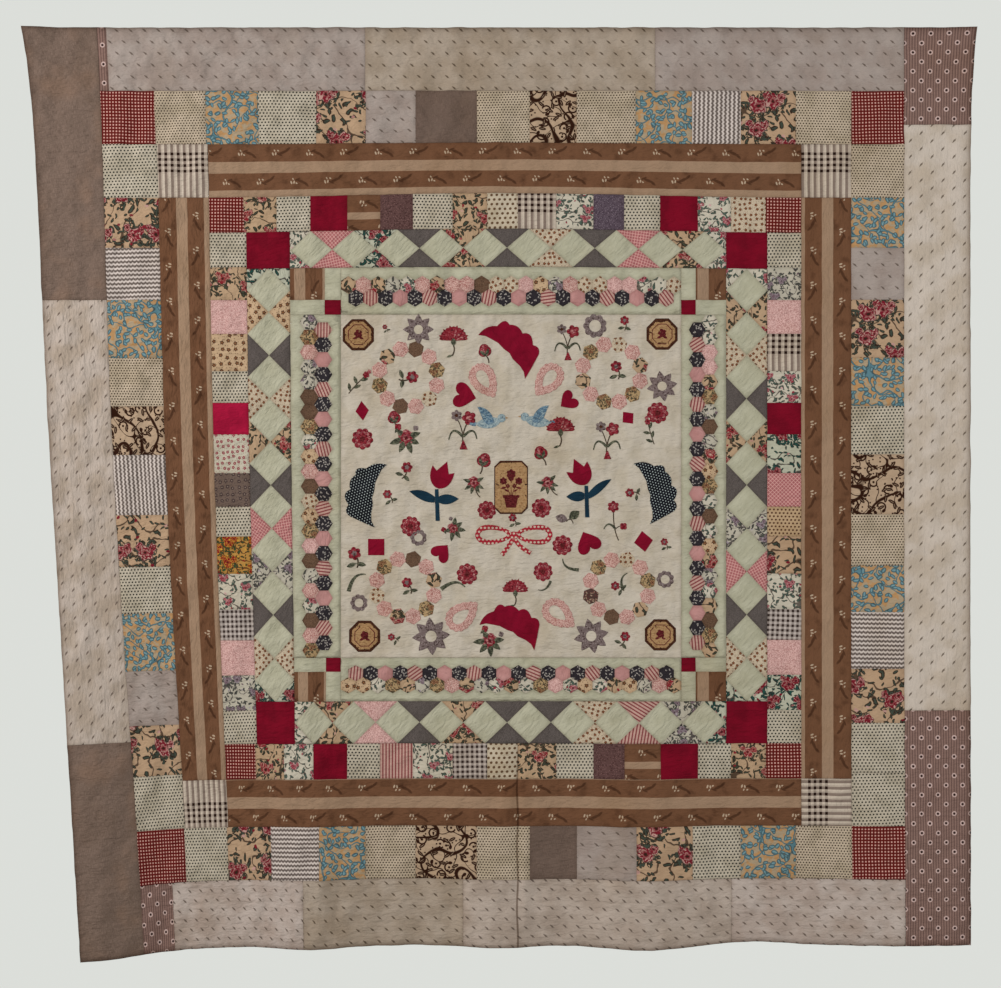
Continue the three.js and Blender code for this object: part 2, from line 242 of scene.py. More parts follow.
def row_wander(across, down):
    return 2.2 * np.sin(across / 38.0) + 1.8 * np.sin(across / 83.0 + down / 60.0)


def field_quilting(across, down, sizes):
    """Rows of quilting across the centre ground."""
    inside = 1.0
    for value, edge, ease in (
        (across, FIELD.left, FIELD_EASE),
        (across, FIELD.right, -FIELD_EASE),
        (down, FIELD.top, FIELD_EASE),
        (down, FIELD.bottom, -FIELD_EASE),
    ):
        inside = inside * soft_step(value, edge, edge + ease)
    wave = np.abs(np.sin(np.pi * (down + row_wander(across, down)) / FIELD_ROW))
    return inside * sizes.field_rise / MM * (np.sqrt(wave) - 1.0)


def front(plan, seam, sizes):
    """How far the front of the top cloth stands before the back of the quilt, in millimetres."""
    across, down = plan.T
    pillow = sizes.patch_rise / MM * (1.0 - np.exp(-seam / PILLOW_REACH))
    ditch = sizes.seam_depth / MM * bell(seam, DITCH_REACH)
    gathers = np.sin((across + down) / 6.1 + np.sin((across - down) / 17.0)) * np.exp(-seam / 14.0)
    height = sizes.thickness / MM + pillow - ditch + PUCKER * gathers * (1.0 - np.exp(-seam / 3.0))
    return height + channels(across, down, sizes) + field_quilting(across, down, sizes)


# Patches


def patch_seams(start, end, patches):
    """Seams of a row of patches, which wander a little from an even pitch."""
    pitch = (end - start) / patches
    wanders = [math.sin(1.9 * k) * math.sin(math.pi * k / patches) for k in range(patches + 1)]
    return [start + pitch * (k + PATCH_WANDER * wander) for k, wander in enumerate(wanders)]


def edge_distance(points, outline):
    """Distance from each point to the nearest side of a convex outline."""
    nearest = np.full(len(points), np.inf)
    for start, end in zip(outline, [*outline[1:], outline[0]]):
        run = np.subtract(end, start).astype(float)
        offset = points - np.asarray(start, float)
        away = np.abs(offset[:, 0] * run[1] - offset[:, 1] * run[0]) / np.hypot(*run)
        nearest = np.minimum(nearest, away)
    return nearest


def graded(cells, edge_share):
    """Shares from 0 to 1 in even cells, with a narrow one at each end if edge_share says so."""
    if edge_share <= 0:
        return np.linspace(0, 1, cells + 1)
    return np.concatenate([[0.0], np.linspace(edge_share, 1 - edge_share, cells - 1), [1.0]])


def four_sided(corners, cells_across, cells_down, edge=(0.0, 0.0)):
    """Points and faces of a four-sided patch; its corners go clockwise from the upper left."""
    upper_left, upper_right, lower_right, lower_left = (np.asarray(c, float) for c in corners)
    shares_across = graded(cells_across, edge[0])
    shares_down = graded(cells_down, edge[1])
    s, t = (grid.ravel()[:, None] for grid in np.meshgrid(shares_across, shares_down))
    points = (1 - s) * (1 - t) * upper_left + s * (1 - t) * upper_right
    points = points + s * t * lower_right + (1 - s) * t * lower_left
    columns = len(shares_across)
    row, column = (grid.ravel() for grid in np.mgrid[0 : len(shares_down) - 1, 0 : columns - 1])
    first = row * columns + column
    return points, np.stack([first, first + columns, first + columns + 1, first + 1], axis=1)


def three_sided(corners, cells):
    """Points and faces of a triangular patch; its corners go anticlockwise."""
    a, b, c = (np.asarray(corner, float) for corner in corners)
    spots = [(i, j) for i in range(cells + 1) for j in range(cells + 1 - i)]
    index = {spot: k for k, spot in enumerate(spots)}
    points = [a + (b - a) * (i / cells) + (c - a) * (j / cells) for i, j in spots]
    faces = []
    for i, j in spots:
        if i + j < cells:
            faces.append((index[i, j], index[i + 1, j], index[i, j + 1]))
        if i + j < cells - 1:
            faces.append((index[i + 1, j], index[i + 1, j + 1], index[i, j + 1]))
    return np.array(points), np.array(faces)


def cloth_lie(origin, turn=0.0):
    """How a cloth lies on the plan: its origin, and the directions along and up it."""
    c, s = math.cos(math.radians(turn)), math.sin(math.radians(turn))
    return np.asarray(origin, float), np.array([c, -s]), np.array([-s, -c])


def loose_lie(draw, place, slide, turn):
    """A cloth that lies anyhow near a place."""
    return cloth_lie(np.add(place, draw.uniform(-slide, slide, 2)), draw.uniform(-turn, turn))


def corners_of(area):
    left, right, top, bottom = area
    return [(left, top), (right, top), (right, bottom), (left, bottom)]


def sides_of(outer, inner):
    """The four sides of a border between its corners."""
    return {
        "top": Area(inner.left, inner.right, outer.top, inner.top),
        "bottom": Area(inner.left, inner.right, inner.bottom, outer.bottom),
        "left": Area(outer.left, inner.left, inner.top, inner.bottom),
        "right": Area(inner.right, outer.right, inner.top, inner.bottom),
    }


def corner_areas(outer, inner):
    sides = sides_of(outer, inner)
    return {
        f"{upright}_{lying}": sides[lying]._replace(top=sides[upright].top, bottom=sides[upright].bottom)
        for upright in ("top", "bottom")
        for lying in ("left", "right")
    }


def is_lying(side):
    return side in ("top", "bottom")


# Pieces

NARROW = 2.0
# How far the darkening near a seam reaches, in millimetres.
SEAM_DARKENING_REACH = 2.6
HEM_WEAR = 9.0
# How far out over the hem, how far forward there, and how far forward at a seam.
SEAM_RINGS = ((0.0, 0.6, 0.6),)
HEM_RINGS = ((1.1, 1.5, 1.7), (0.5, 0.1, 1.1), (-7.0, -0.3, 0.6))


def add_object(name, data):
    made = bpy.data.objects.new(name, data)
    bpy.context.collection.objects.link(made)
    return made


def make_mesh(name, points, faces, edges=()):
    mesh = bpy.data.meshes.new(name)
    mesh.from_pydata(points.tolist(), edges, faces)
    mesh.update()
    mesh.polygons.foreach_set("use_smooth", [True] * len(mesh.polygons))
    return add_object(name, mesh)


def set_attribute(piece, name, values):
    layer = piece.data.attributes.new(name, "FLOAT", "POINT")
    layer.data.foreach_set("value", np.asarray(values, np.float32))


def finish_piece(piece, places, cloths, names):
    """Gives a piece its cloth coordinates and materials, and says what it rides on."""
    layer = piece.data.uv_layers.new(name="cloth")
    layer.data.foreach_set("uv", np.asarray(places, np.float32).ravel())
    for name in names:
        piece.data.materials.append(cloth_material(name))
    piece.data.polygons.foreach_set("material_index", cloths)
    piece.data.update()
    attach(piece, BODY)


class Patchwork:
    """Points, faces and cloths, gathered patch by patch for one piece."""

    def __init__(self, name, slot, sizes):
        self.name = name
        self.slot = slot
        self.sizes = sizes
        self.count = 0
        self.points, self.heights, self.faces, self.places, self.cloths, self.names = [], [], [], [], [], []

    def gather(self, points, heights, faces, places, cloth):
        """Adds one patch: points with a number and a place on the cloth each, and faces."""
        if cloth not in self.names:
            self.names.append(cloth)
        places = [tuple(place) for place in (places * MM).tolist()]
        self.points.append(points)
        self.heights.append(heights)
        self.faces += [tuple(k + self.count for k in face) for face in faces]
        self.places += [places[k] for face in faces for k in face]
        self.cloths += [self.names.index(cloth)] * len(faces)
        self.count += len(points)


class Panel(Patchwork):
    """One node of the quilt: patches on the plan, joined on their seams, then hung."""

    def __init__(self, name, slot, area, sizes):
        super().__init__(name, slot, sizes)
        self.area = area

    def add(self, points, faces, outline, cloth, lie, sewn=True):
        """Adds a patch of a cloth that lies as `lie` says; `sewn` if its sides are seams."""
        origin, along, up = lie
        offset = points - origin
        places = np.stack([offset @ along, offset @ up], axis=1)
        seam = edge_distance(points, outline if sewn else corners_of(self.area))
        self.gather(points, seam, faces.tolist(), places, cloth)

    def add_rectangle(self, area, cloth, lie, cell=None):
        """Adds a rectangular patch, with a narrow row of cells beside each seam."""
        cell = cell or self.sizes.cell / MM
        wide, high = area.right - area.left, area.bottom - area.top
        cells = (max(4, round(wide / cell)), max(4, round(high / cell)))
        points, faces = four_sided(corners_of(area), *cells, edge=(NARROW / wide, NARROW / high))
        self.add(points, faces, corners_of(area), cloth, lie)

    def build(self):
        """Joins the patches, turns their rim back, hangs them and makes the piece."""
        rough = np.concatenate(self.points)
        _keys, first, joined = np.unique(np.round(rough, 2), axis=0, return_index=True, return_inverse=True)
        joined = joined.ravel().tolist()
        plan = rough[first]
        seam = np.full(len(plan), np.inf)
        np.minimum.at(seam, joined, np.concatenate(self.heights))
        faces = [tuple(joined[k] for k in face) for face in self.faces]
        out = front(plan, seam, self.sizes)
        plan, out, faces, places, cloths = self.turn_rim(plan, out, faces, list(self.places))
        piece = make_mesh(f"{self.name}_cloth", hang(plan, out), faces)
        finish_piece(piece, places, cloths, self.names)
        rim = len(plan) - len(seam)
        set_attribute(piece, "seam", np.concatenate([np.exp(-seam / SEAM_DARKENING_REACH), np.ones(rim)]))
        set_attribute(piece, "hem", np.exp(-hem_distance(plan) / HEM_WEAR))
        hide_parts(self.name)
        return piece

    def declare(self, piece, with_pieces=()):
        wide, high = self.area.right - self.area.left, self.area.bottom - self.area.top
        wide * MM
        high * MM

    def turn_rim(self, plan, out, faces, places):
        """Turns the rim of the panel back to the backing, and round it where the rim is the hem."""
        seen = {}
        corner = 0
        for number, face in enumerate(faces):
            for k, start in enumerate(face):
                after = (k + 1) % len(face)
                seen[start, face[after]] = (places[corner + k], places[corner + after], self.cloths[number])
            corner += len(face)
        sides = [(edge, found) for edge, found in seen.items() if edge[::-1] not in seen]
        rim = sorted({start for (start, _end), _found in sides})
        outward = rim_normals(plan[rim])
        at_hem = np.abs(outward).sum(axis=1) > 0
        previous = {vertex: vertex for vertex in rim}
        plans, outs, cloths = [plan], [out], list(self.cloths)
        total = len(plan)
        for shift, hem_out, seam_out in HEM_RINGS if at_hem.any() else SEAM_RINGS:
            plans.append(plan[rim] + outward * shift)
            outs.append(np.where(at_hem, hem_out, seam_out))
            current = {vertex: total + k for k, vertex in enumerate(rim)}
            for (start, end), (start_place, end_place, cloth) in sides:
                faces.append((previous[end], previous[start], current[start], current[end]))
                places += [end_place, start_place, start_place, end_place]
                cloths.append(cloth)
            previous = current
            total += len(rim)
        return np.concatenate(plans), np.concatenate(outs), faces, places, cloths


def hem_distance(plan):
    across = np.minimum(plan[:, 0] - HEM.left, HEM.right - plan[:, 0])
    down = np.minimum(plan[:, 1] - HEM.top, HEM.bottom - plan[:, 1])
    return np.maximum(0.0, np.minimum(across, down))


def rim_normals(plan):
    """Which way is out of the quilt, for points on its hem; nothing for the others."""
    near = 0.3
    left, right = plan[:, 0] < HEM.left + near, plan[:, 0] > HEM.right - near
    top, bottom = plan[:, 1] < HEM.top + near, plan[:, 1] > HEM.bottom - near
    return np.stack([right * 1.0 - left, bottom * 1.0 - top], axis=1)


def one_cloth_panel(name, slot, area, cloth, lie, sizes):
    panel = Panel(name, slot, area, sizes)
    panel.add_rectangle(area, cloth, lie)
    panel.declare(panel.build())


# Shader trees


def linear(text):
    """A colour written as #rrggbb, in linear light."""
    values = [int(text[k : k + 2], 16) / 255 for k in (1, 3, 5)]
    return [v / 12.92 if v <= 0.04045 else ((v + 0.055) / 1.055) ** 2.4 for v in values] + [1.0]


def plug(tree, slot, term):
    """Links a value or socket to a slot, or sets the slot to a number or colour."""
    if isinstance(term, Value):
        tree.links.new(term.socket, slot)
    elif isinstance(term, bpy.types.NodeSocket):
        tree.links.new(term, slot)
    else:
        slot.default_value = term


def add_node(tree, kind, settings=None, values=None):
    """Adds a node with its settings, then the values or links of its sockets."""
    made = tree.nodes.new(kind)
    for key, setting in (settings or {}).items():
        setattr(made, key, setting)
    for key, value in (values or {}).items():
        plug(tree, made.inputs[key], value)
    return made


def by_math(operation):
    return lambda *terms: terms[0].math(operation, *terms)


class Value:
    """A number in a shader tree; arithmetic on it adds Math nodes."""

    def __init__(self, tree, socket):
        self.tree = tree
        self.socket = socket

    def math(self, operation, *terms):
        node = add_node(self.tree, "ShaderNodeMath", {"operation": operation}, dict(enumerate(terms)))
        return Value(self.tree, node.outputs[0])

    def __rsub__(self, other):
        return self.math("SUBTRACT", other, self)

    __add__ = __radd__ = by_math("ADD")
    __sub__ = by_math("SUBTRACT")
    __mul__ = __rmul__ = by_math("MULTIPLY")
    __truediv__ = by_math("DIVIDE")
    __lt__ = by_math("LESS_THAN")
    __gt__ = by_math("GREATER_THAN")
    sin = by_math("SINE")
    cos = by_math("COSINE")
    size = by_math("ABSOLUTE")
    floor = by_math("FLOOR")
    root = by_math("SQRT")
    either = by_math("MAXIMUM")
    both = by_math("MINIMUM")

    def wave(self, length):
        """A sine wave, one for each `length`."""
        return (self * (2 * math.pi / length)).sin()

    def between(self, low, high):
        """A soft step from 0 at low to 1 at high; low may be the bigger one."""
        values = {"Value": self, "From Min": low, "From Max": high}
        node = add_node(self.tree, "ShaderNodeMapRange", {"interpolation_type": "SMOOTHSTEP"}, values)
        return Value(self.tree, node.outputs["Result"])


class Place(namedtuple("Place", "x y luck second")):
    """A place inside one repeat of a print, in millimetres, with two numbers of luck for that repeat."""

    def offset(self, across, up, turn):
        x = self.x - across
        y = self.y - up
        if turn == 0:
            return x, y
        c = math.cos(math.radians(turn))
        s = math.sin(math.radians(turn))
        return x * c + y * s, y * c - x * s

    def spot(self, across, up, wide, high, turn=0, soft=0.3):
        """An oval spot, 1 inside and 0 outside."""
        x, y = self.offset(across, up, turn)
        reach = x / wide * (x / wide) + y / high * (y / high)
        return reach.between(1 + soft, 1 - soft)

    def ring(self, radius, width, soft=0.5):
        x, y = self.offset(0, 0, 0)
        away = (x * x + y * y).root() - radius
        return away.size().between(width / 2 + soft, width / 2 - soft)

    def bloom(self, radius, petals, depth, soft=0.6):
        """A flower about the middle of the repeat: its mask, and how far out in it a point is."""
        away = (self.x * self.x + self.y * self.y).root()
        angle = self.y.math("ARCTAN2", self.y, self.x) + self.luck * 6.28
        edge = (angle * (petals / 2)).sin().size() * (radius * depth) + radius * (1 - depth)
        return (away - edge).between(soft, -soft), away / edge

    def turned(self):
        """The same place with the repeat turned by its own luck."""
        angle = self.luck * 6.28
        c = angle.cos()
        s = angle.sin()
        return Place(self.x * c + self.y * s, self.y * c - self.x * s, self.luck, self.second)


# Where the painted shade of the long crease runs: across, and the height where it starts, in metres.
PAINTED_CREASE_LINE = {"across": 0.051, "top": -2.05}
STAIN = "#d8c6a8"
# Colour multiplied in near the seams and along the painted crease shade.
SEAM_AND_CREASE_SHADE = "#8f7f72"
HEM_SHADE = "#84705f"
FIBRE_SHADE = (0.93, 0.93, 0.93, 1.0)


class Cloth:
    """Builds the shader tree of one cloth."""

    def __init__(self, name):
        self.material = bpy.data.materials.new(name)
        self.material.use_nodes = True
        self.tree = self.material.node_tree
        self.tree.nodes.clear()
        places = self.node("ShaderNodeUVMap", {"uv_map": "cloth"})
        self.x, self.y = (value * 1000.0 for value in self.split(places.outputs["UV"])[:2])

    def node(self, kind, settings=None, values=None):
        return add_node(self.tree, kind, settings, values)

    def value(self, output, kind, settings=None, values=None):
        return Value(self.tree, self.node(kind, settings, values).outputs[output])

    def split(self, vector, kind="XYZ", slot="Vector"):
        spot = self.node(f"ShaderNodeSeparate{kind}", {}, {slot: vector})
        return [Value(self.tree, part) for part in spot.outputs]

    def point(self, x, y):
        return self.node("ShaderNodeCombineXYZ", {}, {"X": x, "Y": y}).outputs["Vector"]

    def mix(self, under, over, mask, blend="MIX"):
        under, over = (linear(given) if isinstance(given, str) else given for given in (under, over))
        settings = {"data_type": "RGBA", "blend_type": blend}
        return self.node("ShaderNodeMix", settings, {0: mask, 6: under, 7: over}).outputs[2]

    def noise(self, length, detail=2.0, stretch=1.0, seed=0.0):
        """Soft noise whose lumps are about `length` millimetres, drawn out along the cloth by stretch."""
        where = self.point(self.x / (length * stretch) + seed, self.y / length + seed)
        values = {"Vector": where, "Scale": 1.0, "Detail": detail}
        return self.value("Fac", "ShaderNodeTexNoise", {"noise_dimensions": "2D"}, values)

    def mottle(self, under, over, length, low, high, detail=3.0):
        """One colour over another in soft uneven patches."""
        return self.mix(under, over, self.noise(length, detail).between(low, high))

    def repeat(self, across, up, stagger=0.0, x=None, y=None):
        """A print that repeats on an even lattice."""
        x = self.x if x is None else x
        y = self.y if y is None else y
        row = (y / up).floor()
        along = x / across
        if stagger:
            along = along + row.math("MODULO", row.size(), 2.0) * stagger
        column = along.floor()
        where = {"Vector": self.point(column, row)}
        dice = self.node("ShaderNodeTexWhiteNoise", {"noise_dimensions": "2D"}, where)
        luck = Value(self.tree, dice.outputs["Value"])
        second = self.split(dice.outputs["Color"], "Color", "Color")[1]
        return Place((along - column - 0.5) * across, (y / up - row - 0.5) * up, luck, second)

    def scatter(self, pitch, loose=0.9, seed=0.0):
        """A print whose repeats lie loosely scattered."""
        where = self.point(self.x / pitch + seed, self.y / pitch + seed)
        settings = {"voronoi_dimensions": "2D", "feature": "F1"}
        values = {"Vector": where, "Scale": 1.0, "Randomness": loose}
        cells = self.node("ShaderNodeTexVoronoi", settings, values)
        across, up, _depth = self.split(cells.outputs["Position"])
        x = self.x - (across - seed) * pitch
        y = self.y - (up - seed) * pitch
        return Place(x, y, *self.split(cells.outputs["Color"], "Color", "Color")[:2])

    def warp(self, amount, length):
        """Bends everything drawn after this, as an uneven hand-cut block does."""
        sideways_shift = self.noise(length, 1.0, 1.0, 11.0) - 0.5
        upward_shift = self.noise(length, 1.0, 1.0, 23.0) - 0.5
        self.x = self.x + sideways_shift * amount
        self.y = self.y + upward_shift * amount

    def vine(self, length, width, seed=0.0, inner=0.5):
        """Curling stems: the contours of soft noise."""
        return (self.noise(length, 0.0, 1.0, seed) - 0.5).size().between(width, width * inner)

    def painted_crease_shade(self, body):
        """Painted shade: a dark line along the crease that was folded for long, where its shadow falls."""
        across, _depth, height = self.split(body)
        away = (across - PAINTED_CREASE_LINE["across"] + (height * 37.0).sin() * 0.0014).size()
        top = PAINTED_CREASE_LINE["top"]
        return away.between(0.0045, 0.001) * height.between(top + 0.05, top - 0.05)

    def finish(self, colour):
        """Adds weave, age, hem wear, darkening near the seams and a painted crease shadow to a printed
        colour, and the shader.
        """
        fibre = self.noise(0.9, 1.0, 6.0) + self.noise(5.5, 1.0, 1 / 6.0, 3.0)
        body = self.node("ShaderNodeTexCoord").outputs["Object"]
        age = self.value("Fac", "ShaderNodeTexNoise", {}, {"Vector": body, "Scale": 4.0, "Detail": 3.0})
        seam = self.value("Fac", "ShaderNodeAttribute", {"attribute_name": "seam"})
        hem = self.value("Fac", "ShaderNodeAttribute", {"attribute_name": "hem"})
        # Painted shade: the dark line of the long crease is drawn into the seam mask.
        seam = seam.either(self.painted_crease_shade(body) * 2.6)
        for shade, mask in (
            (FIBRE_SHADE, fibre.between(0.55, 1.45) * 0.35),
            (STAIN, age.between(0.5, 0.85) * 0.4),
            (SEAM_AND_CREASE_SHADE, seam * 0.3),
            (HEM_SHADE, hem * 0.55),
        ):
            colour = self.mix(colour, shade, mask, "MULTIPLY")
        fine_folds = (self.noise(15.0, 2.0, 2.6, 7.0) - 0.5).size() * 3.4
        fine_folds = fine_folds + self.noise(8.0, 2.0, 1.8, 5.0) * 0.9
        creased = fine_folds + self.noise(30.0, 2.0, 1.5, 2.0) * 2.2 + fibre * 0.16
        bump = self.node("ShaderNodeBump", {}, {"Height": creased, "Strength": 0.9, "Distance": 0.0019})
        values = {
            "Base Color": colour,
            "Roughness": 0.92,
            "Sheen Weight": 0.02,
            "Sheen Roughness": 0.5,
            "Specular IOR Level": 0.06,
            "Normal": bump.outputs["Normal"],
        }
        shader = self.node("ShaderNodeBsdfPrincipled", {}, values)
        self.node("ShaderNodeOutputMaterial", {}, {"Surface": shader.outputs["BSDF"]})
        return self.material


# Prints: each gives the printed colour of a cloth.


def plain(cloth, colour, shade):
    return cloth.mottle(colour, shade, 60.0, 0.35, 0.7)


def woollen(cloth, colour, shade, rust):
    thread = cloth.noise(2.6, 2.0, 0.22) + cloth.noise(14.0, 2.0, 0.1, 4.0)
    cloudy = cloth.noise(150.0, 3.0, 1.0, 9.0)
    base = cloth.mix(colour, shade, thread.between(0.75, 1.3))
    return cloth.mix(base, rust, cloudy.between(0.5, 0.75) * 0.5)


def sprigs(cloth, ground, shade, ink, across, up):
    """Small leaning sprigs: a leaf with a bud at one end and a stalk at the other."""
    base = cloth.mottle(ground, shade, 90.0, 0.35, 0.68, 4.0)
    base = cloth.mix(base, shade, cloth.noise(3.0, 1.0, 0.15).between(0.45, 0.75) * 0.4)
    place = cloth.repeat(across, up, 0.5)
    leaf = place.spot(0, 0, 4.6, 2.3, -35).either(place.spot(2.2, -2.6, 2.6, 1.7, 20))
    bud = place.spot(-4.4, 3.2, 1.9, 1.6).either(place.spot(5.4, -4.6, 2.4, 0.9, -20))
    return cloth.mix(cloth.mix(base, ink, leaf * 0.85), ink, bud * 0.65)


def rings(cloth, ground, stripe, ring, eye):
    base = cloth.mix(ground, stripe, cloth.x.wave(7.4).between(-0.1, 0.5) * 0.8)
    place = cloth.repeat(47.0, 27.0, 0.5)
    return cloth.mix(cloth.mix(base, ring, place.ring(5.4, 3.4)), eye, place.spot(0, 0, 3.4, 3.4))


def checks(cloth, ground, spot, pitch):
    place = cloth.repeat(pitch, pitch)
    width = pitch * 0.21
    across, up = (side.size().between(width + 0.9, width - 0.7) for side in (place.x, place.y))
    return cloth.mix(ground, spot, across.both(up))


def dots(cloth, ground, shade, ink, pitch, share=0.27):
    base = cloth.mottle(ground, shade, 70.0, 0.4, 0.7)
    place = cloth.repeat(pitch, pitch * 0.87, 0.5)
    return cloth.mix(base, ink, place.spot(0, 0, pitch * share, pitch * share * 0.9, 30))


def blue_vine(cloth, ground, glow, leaf, pale, line):
    """Curling stems with small leaves, outlined."""
    cloth.warp(7.0, 22.0)
    base = cloth.mottle(ground, glow, 16.0, 0.42, 0.6, 1.0)
    for length, seed in ((78.0, 0.0), (64.0, 5.0)):
        stem = (cloth.noise(length, 0.0, 1.0, seed) - 0.5).size()
        base = cloth.mix(base, line, stem.between(0.022, 0.015))
        base = cloth.mix(base, leaf, stem.between(0.011, 0.006))
    for pitch, seed in ((25.0, 0.0), (21.0, 7.0)):
        place = cloth.scatter(pitch, 0.85, seed).turned()
        shown = place.second > 0.16
        for colour, wide, high in ((line, 0.36, 0.24), (leaf, 0.28, 0.16), (pale, 0.28, 0.035)):
            base = cloth.mix(base, colour, place.spot(0, 0, pitch * wide, pitch * high) * shown)
    return base


def brown_vine(cloth, ground, ink):
    """Heavy scrolls with leaves along them and dotted flowers."""
    inked = cloth.vine(74.0, 0.06).either(cloth.vine(52.0, 0.022, 6.0))
    scroll = cloth.scatter(46.0, 0.8, 2.0).turned()
    place = cloth.scatter(24.0, 0.9, 8.0).turned()
    berries = cloth.scatter(11.0, 1.0, 4.0)
    for mask in (
        scroll.ring(12.0, 4.6) * (scroll.y > -5.0),
        scroll.spot(11, -7, 6.5, 4.6, 70).either(scroll.spot(0, 0, 3.4, 3.4)),
        place.spot(0, 0, 10.5, 4.6) * (place.second > 0.28),
        berries.spot(0, 0, 2.4, 2.4) * (berries.luck > 0.72),
    ):
        inked = inked.either(mask)
    base = cloth.mix(ground, ink, inked)
    return cloth.mix(base, ground, place.spot(0, 0, 6.5, 0.8) * (place.second > 0.28) * 0.6)


def floral(cloth, ground, rose, pale, green, dark, pitch, share):
    """Chintz: clustered roses in leaves and thin stems on a plain ground."""
    cloth.warp(pitch * 0.13, pitch * 0.24)
    base = cloth.mix(ground, dark, cloth.vine(pitch * 0.8, 0.022) * 0.85)
    for scale, seed, rare in ((0.24, 2.0, 0.5), (0.15, 9.0, 0.6)):
        leaf = cloth.scatter(pitch * scale, 0.9, seed).turned()
        size = pitch * scale * 0.52
        shown = leaf.second > rare
        base = cloth.mix(base, dark, leaf.spot(0, 0, size, size * 0.42) * shown)
        base = cloth.mix(base, green, leaf.spot(0, 0, size * 0.72, size * 0.22) * shown)
    flower = cloth.scatter(pitch, 0.7, 5.0)
    around, _away = flower.bloom(pitch * share * 1.7, 7, 0.5)
    shade = cloth.noise(pitch * 0.075, 1.0)
    base = cloth.mix(base, cloth.mix(dark, green, shade.between(0.45, 0.6)), around * (shade > 0.4))
    for across, up, size, turn in ((0.0, 0.0, 1.0, 0.0), (0.95, 0.5, 0.62, 2.0), (-0.8, 0.75, 0.5, 4.0)):
        radius = pitch * share
        single = Place(flower.x - across * radius, flower.y - up * radius, flower.luck + turn, flower.second)
        bloom, away = single.bloom(radius * size, 5, 0.22)
        streak = (away * 10.0 + cloth.noise(pitch * 0.07, 1.0, 1.0, 2.0) * 9.0).sin().between(-0.3, 0.5)
        petals = cloth.mix(rose, pale, streak * away.between(0.15, 0.7))
        petals = cloth.mix(petals, dark, (away - 0.96).size().between(0.1, 0.03) * 0.8)
        petals = cloth.mix(petals, dark, away.between(0.28, 0.1))
        base = cloth.mix(base, petals, bloom)
    buds = cloth.scatter(pitch * 0.43, 0.9, 8.0)
    bud = buds.spot(0, 0, pitch * 0.05, pitch * 0.04) * (buds.luck > 0.6)
    return cloth.mix(base, cloth.mix(rose, pale, buds.second.between(0.4, 0.7)), bud)


def small_flowers(cloth, ground, ink, heart, pitch):
    bloom, away = cloth.scatter(pitch, 0.45).bloom(pitch * 0.3, 5, 0.35, 0.4)
    base = cloth.mix(cloth.mix(ground, ink, bloom), heart, away.between(0.5, 0.3))
    dotted = cloth.scatter(pitch * 0.45, 0.9, 3.0)
    return cloth.mix(base, ink, dotted.spot(0, 0, pitch * 0.07, pitch * 0.07) * 0.7)


def waves(cloth, ground, ink, pitch):
    row = (cloth.y + cloth.x.wave(23.0).size() * 3.6) / pitch
    line = (row - row.floor() - 0.5).size().between(0.34, 0.2)
    hatch = cloth.x.wave(4.6).between(-0.4, 0.4)
    return cloth.mix(ground, ink, line * (0.82 + hatch * 0.18))


STRIPE_REPEAT = 152.0
# Middle, half width and slide of the print of each of the two sprigged bands.
STRIPE_BANDS = ((25.5, 25.75, 0.0), (108.0, 24.25, 46.0))


def stripe_print(cloth, band, pale, light, dark, hatching):
    """Two sprigged bands with a paler cross-hatched one between them."""
    y = cloth.y - (cloth.y / STRIPE_REPEAT).floor() * STRIPE_REPEAT
    first, second = (
        (y - middle).size().between(half + 0.55, half - 0.55) for middle, half, _slide in STRIPE_BANDS
    )
    hatch = cloth.x.wave(3.2) + cloth.y.wave(4.1)
    base = cloth.mix(pale, hatching, hatch.between(0.4, 1.6) * 0.5)
    mottled = cloth.mix(band, dark, cloth.noise(34.0, 3.0).between(0.5, 0.8) * 0.4)
    base = cloth.mix(base, mottled, first.either(second))
    for middle, _half, slide in STRIPE_BANDS:
        for flip, shift in ((1, 0.0), (-1, 99.0)):
            place = cloth.repeat(198.0, 160.0, 0.0, cloth.x + slide + shift, y - middle + 80.0)
            sprig = place.spot(20, flip, 15, 4.0, 24 * flip, 0.6)
            sprig = sprig.either(place.spot(34, 9 * flip, 10, 3.6, 44 * flip, 0.6))
            sprig = sprig.either(place.spot(9, -5 * flip, 9, 2.6, -24 * flip, 0.6))
            base = cloth.mix(base, dark, sprig * 0.62)
            petal = place.spot(-9, 4, 5.0, 2.4, 70).either(place.spot(-1, 3, 4.6, 2.2, 100))
            petal = petal.either(place.spot(6, 6 * flip, 3.2, 2.0, 30))
            petal = petal.either(place.spot(-4, -6, 3.4, 1.8, 60))
            base = cloth.mix(base, light, petal * 0.75)
    return base


def plaid(cloth, ground, stripe, ink, pitch):
    """Stripes one way over the whole cloth, crossed by a band of darker ones."""
    lines = cloth.x.wave(pitch)
    base = cloth.mix(ground, stripe, lines.between(-0.1, 0.3) * 0.8)
    base = cloth.mix(base, stripe, cloth.x.wave(pitch / 2).between(0.6, 0.9) * 0.35)
    band = (cloth.y - 24.0).size().between(35.0, 32.0)
    rows = (cloth.y * (2 * math.pi / (pitch * 0.9))).cos().between(-0.1, 0.25)
    base = cloth.mix(base, stripe, rows * band * 0.45)
    return cloth.mix(base, ink, rows * band * lines.between(-0.1, 0.2))


def gingham(cloth, ground, ink, pitch):
    across, up = (side.wave(pitch).between(-0.15, 0.15) for side in (cloth.x, cloth.y))
    return cloth.mix(ground, ink, (across + up) * 0.42 + across * up * 0.14)


def stripes(cloth, ground, ink, pitch):
    return cloth.mix(ground, ink, cloth.x.wave(pitch).between(0.0, 0.4))


def vermicelli(cloth, ground, ink, length):
    return cloth.mix(ground, ink, (cloth.noise(length, 1.0) * 26.0).sin().between(-0.2, 0.5))


def lattice(cloth, ground, ink, pitch):
    rising, falling = (
        slope.wave(pitch * 2).size().between(0.42, 0.2) for slope in (cloth.x + cloth.y, cloth.x - cloth.y)
    )
    return cloth.mix(ground, ink, rising.either(falling))


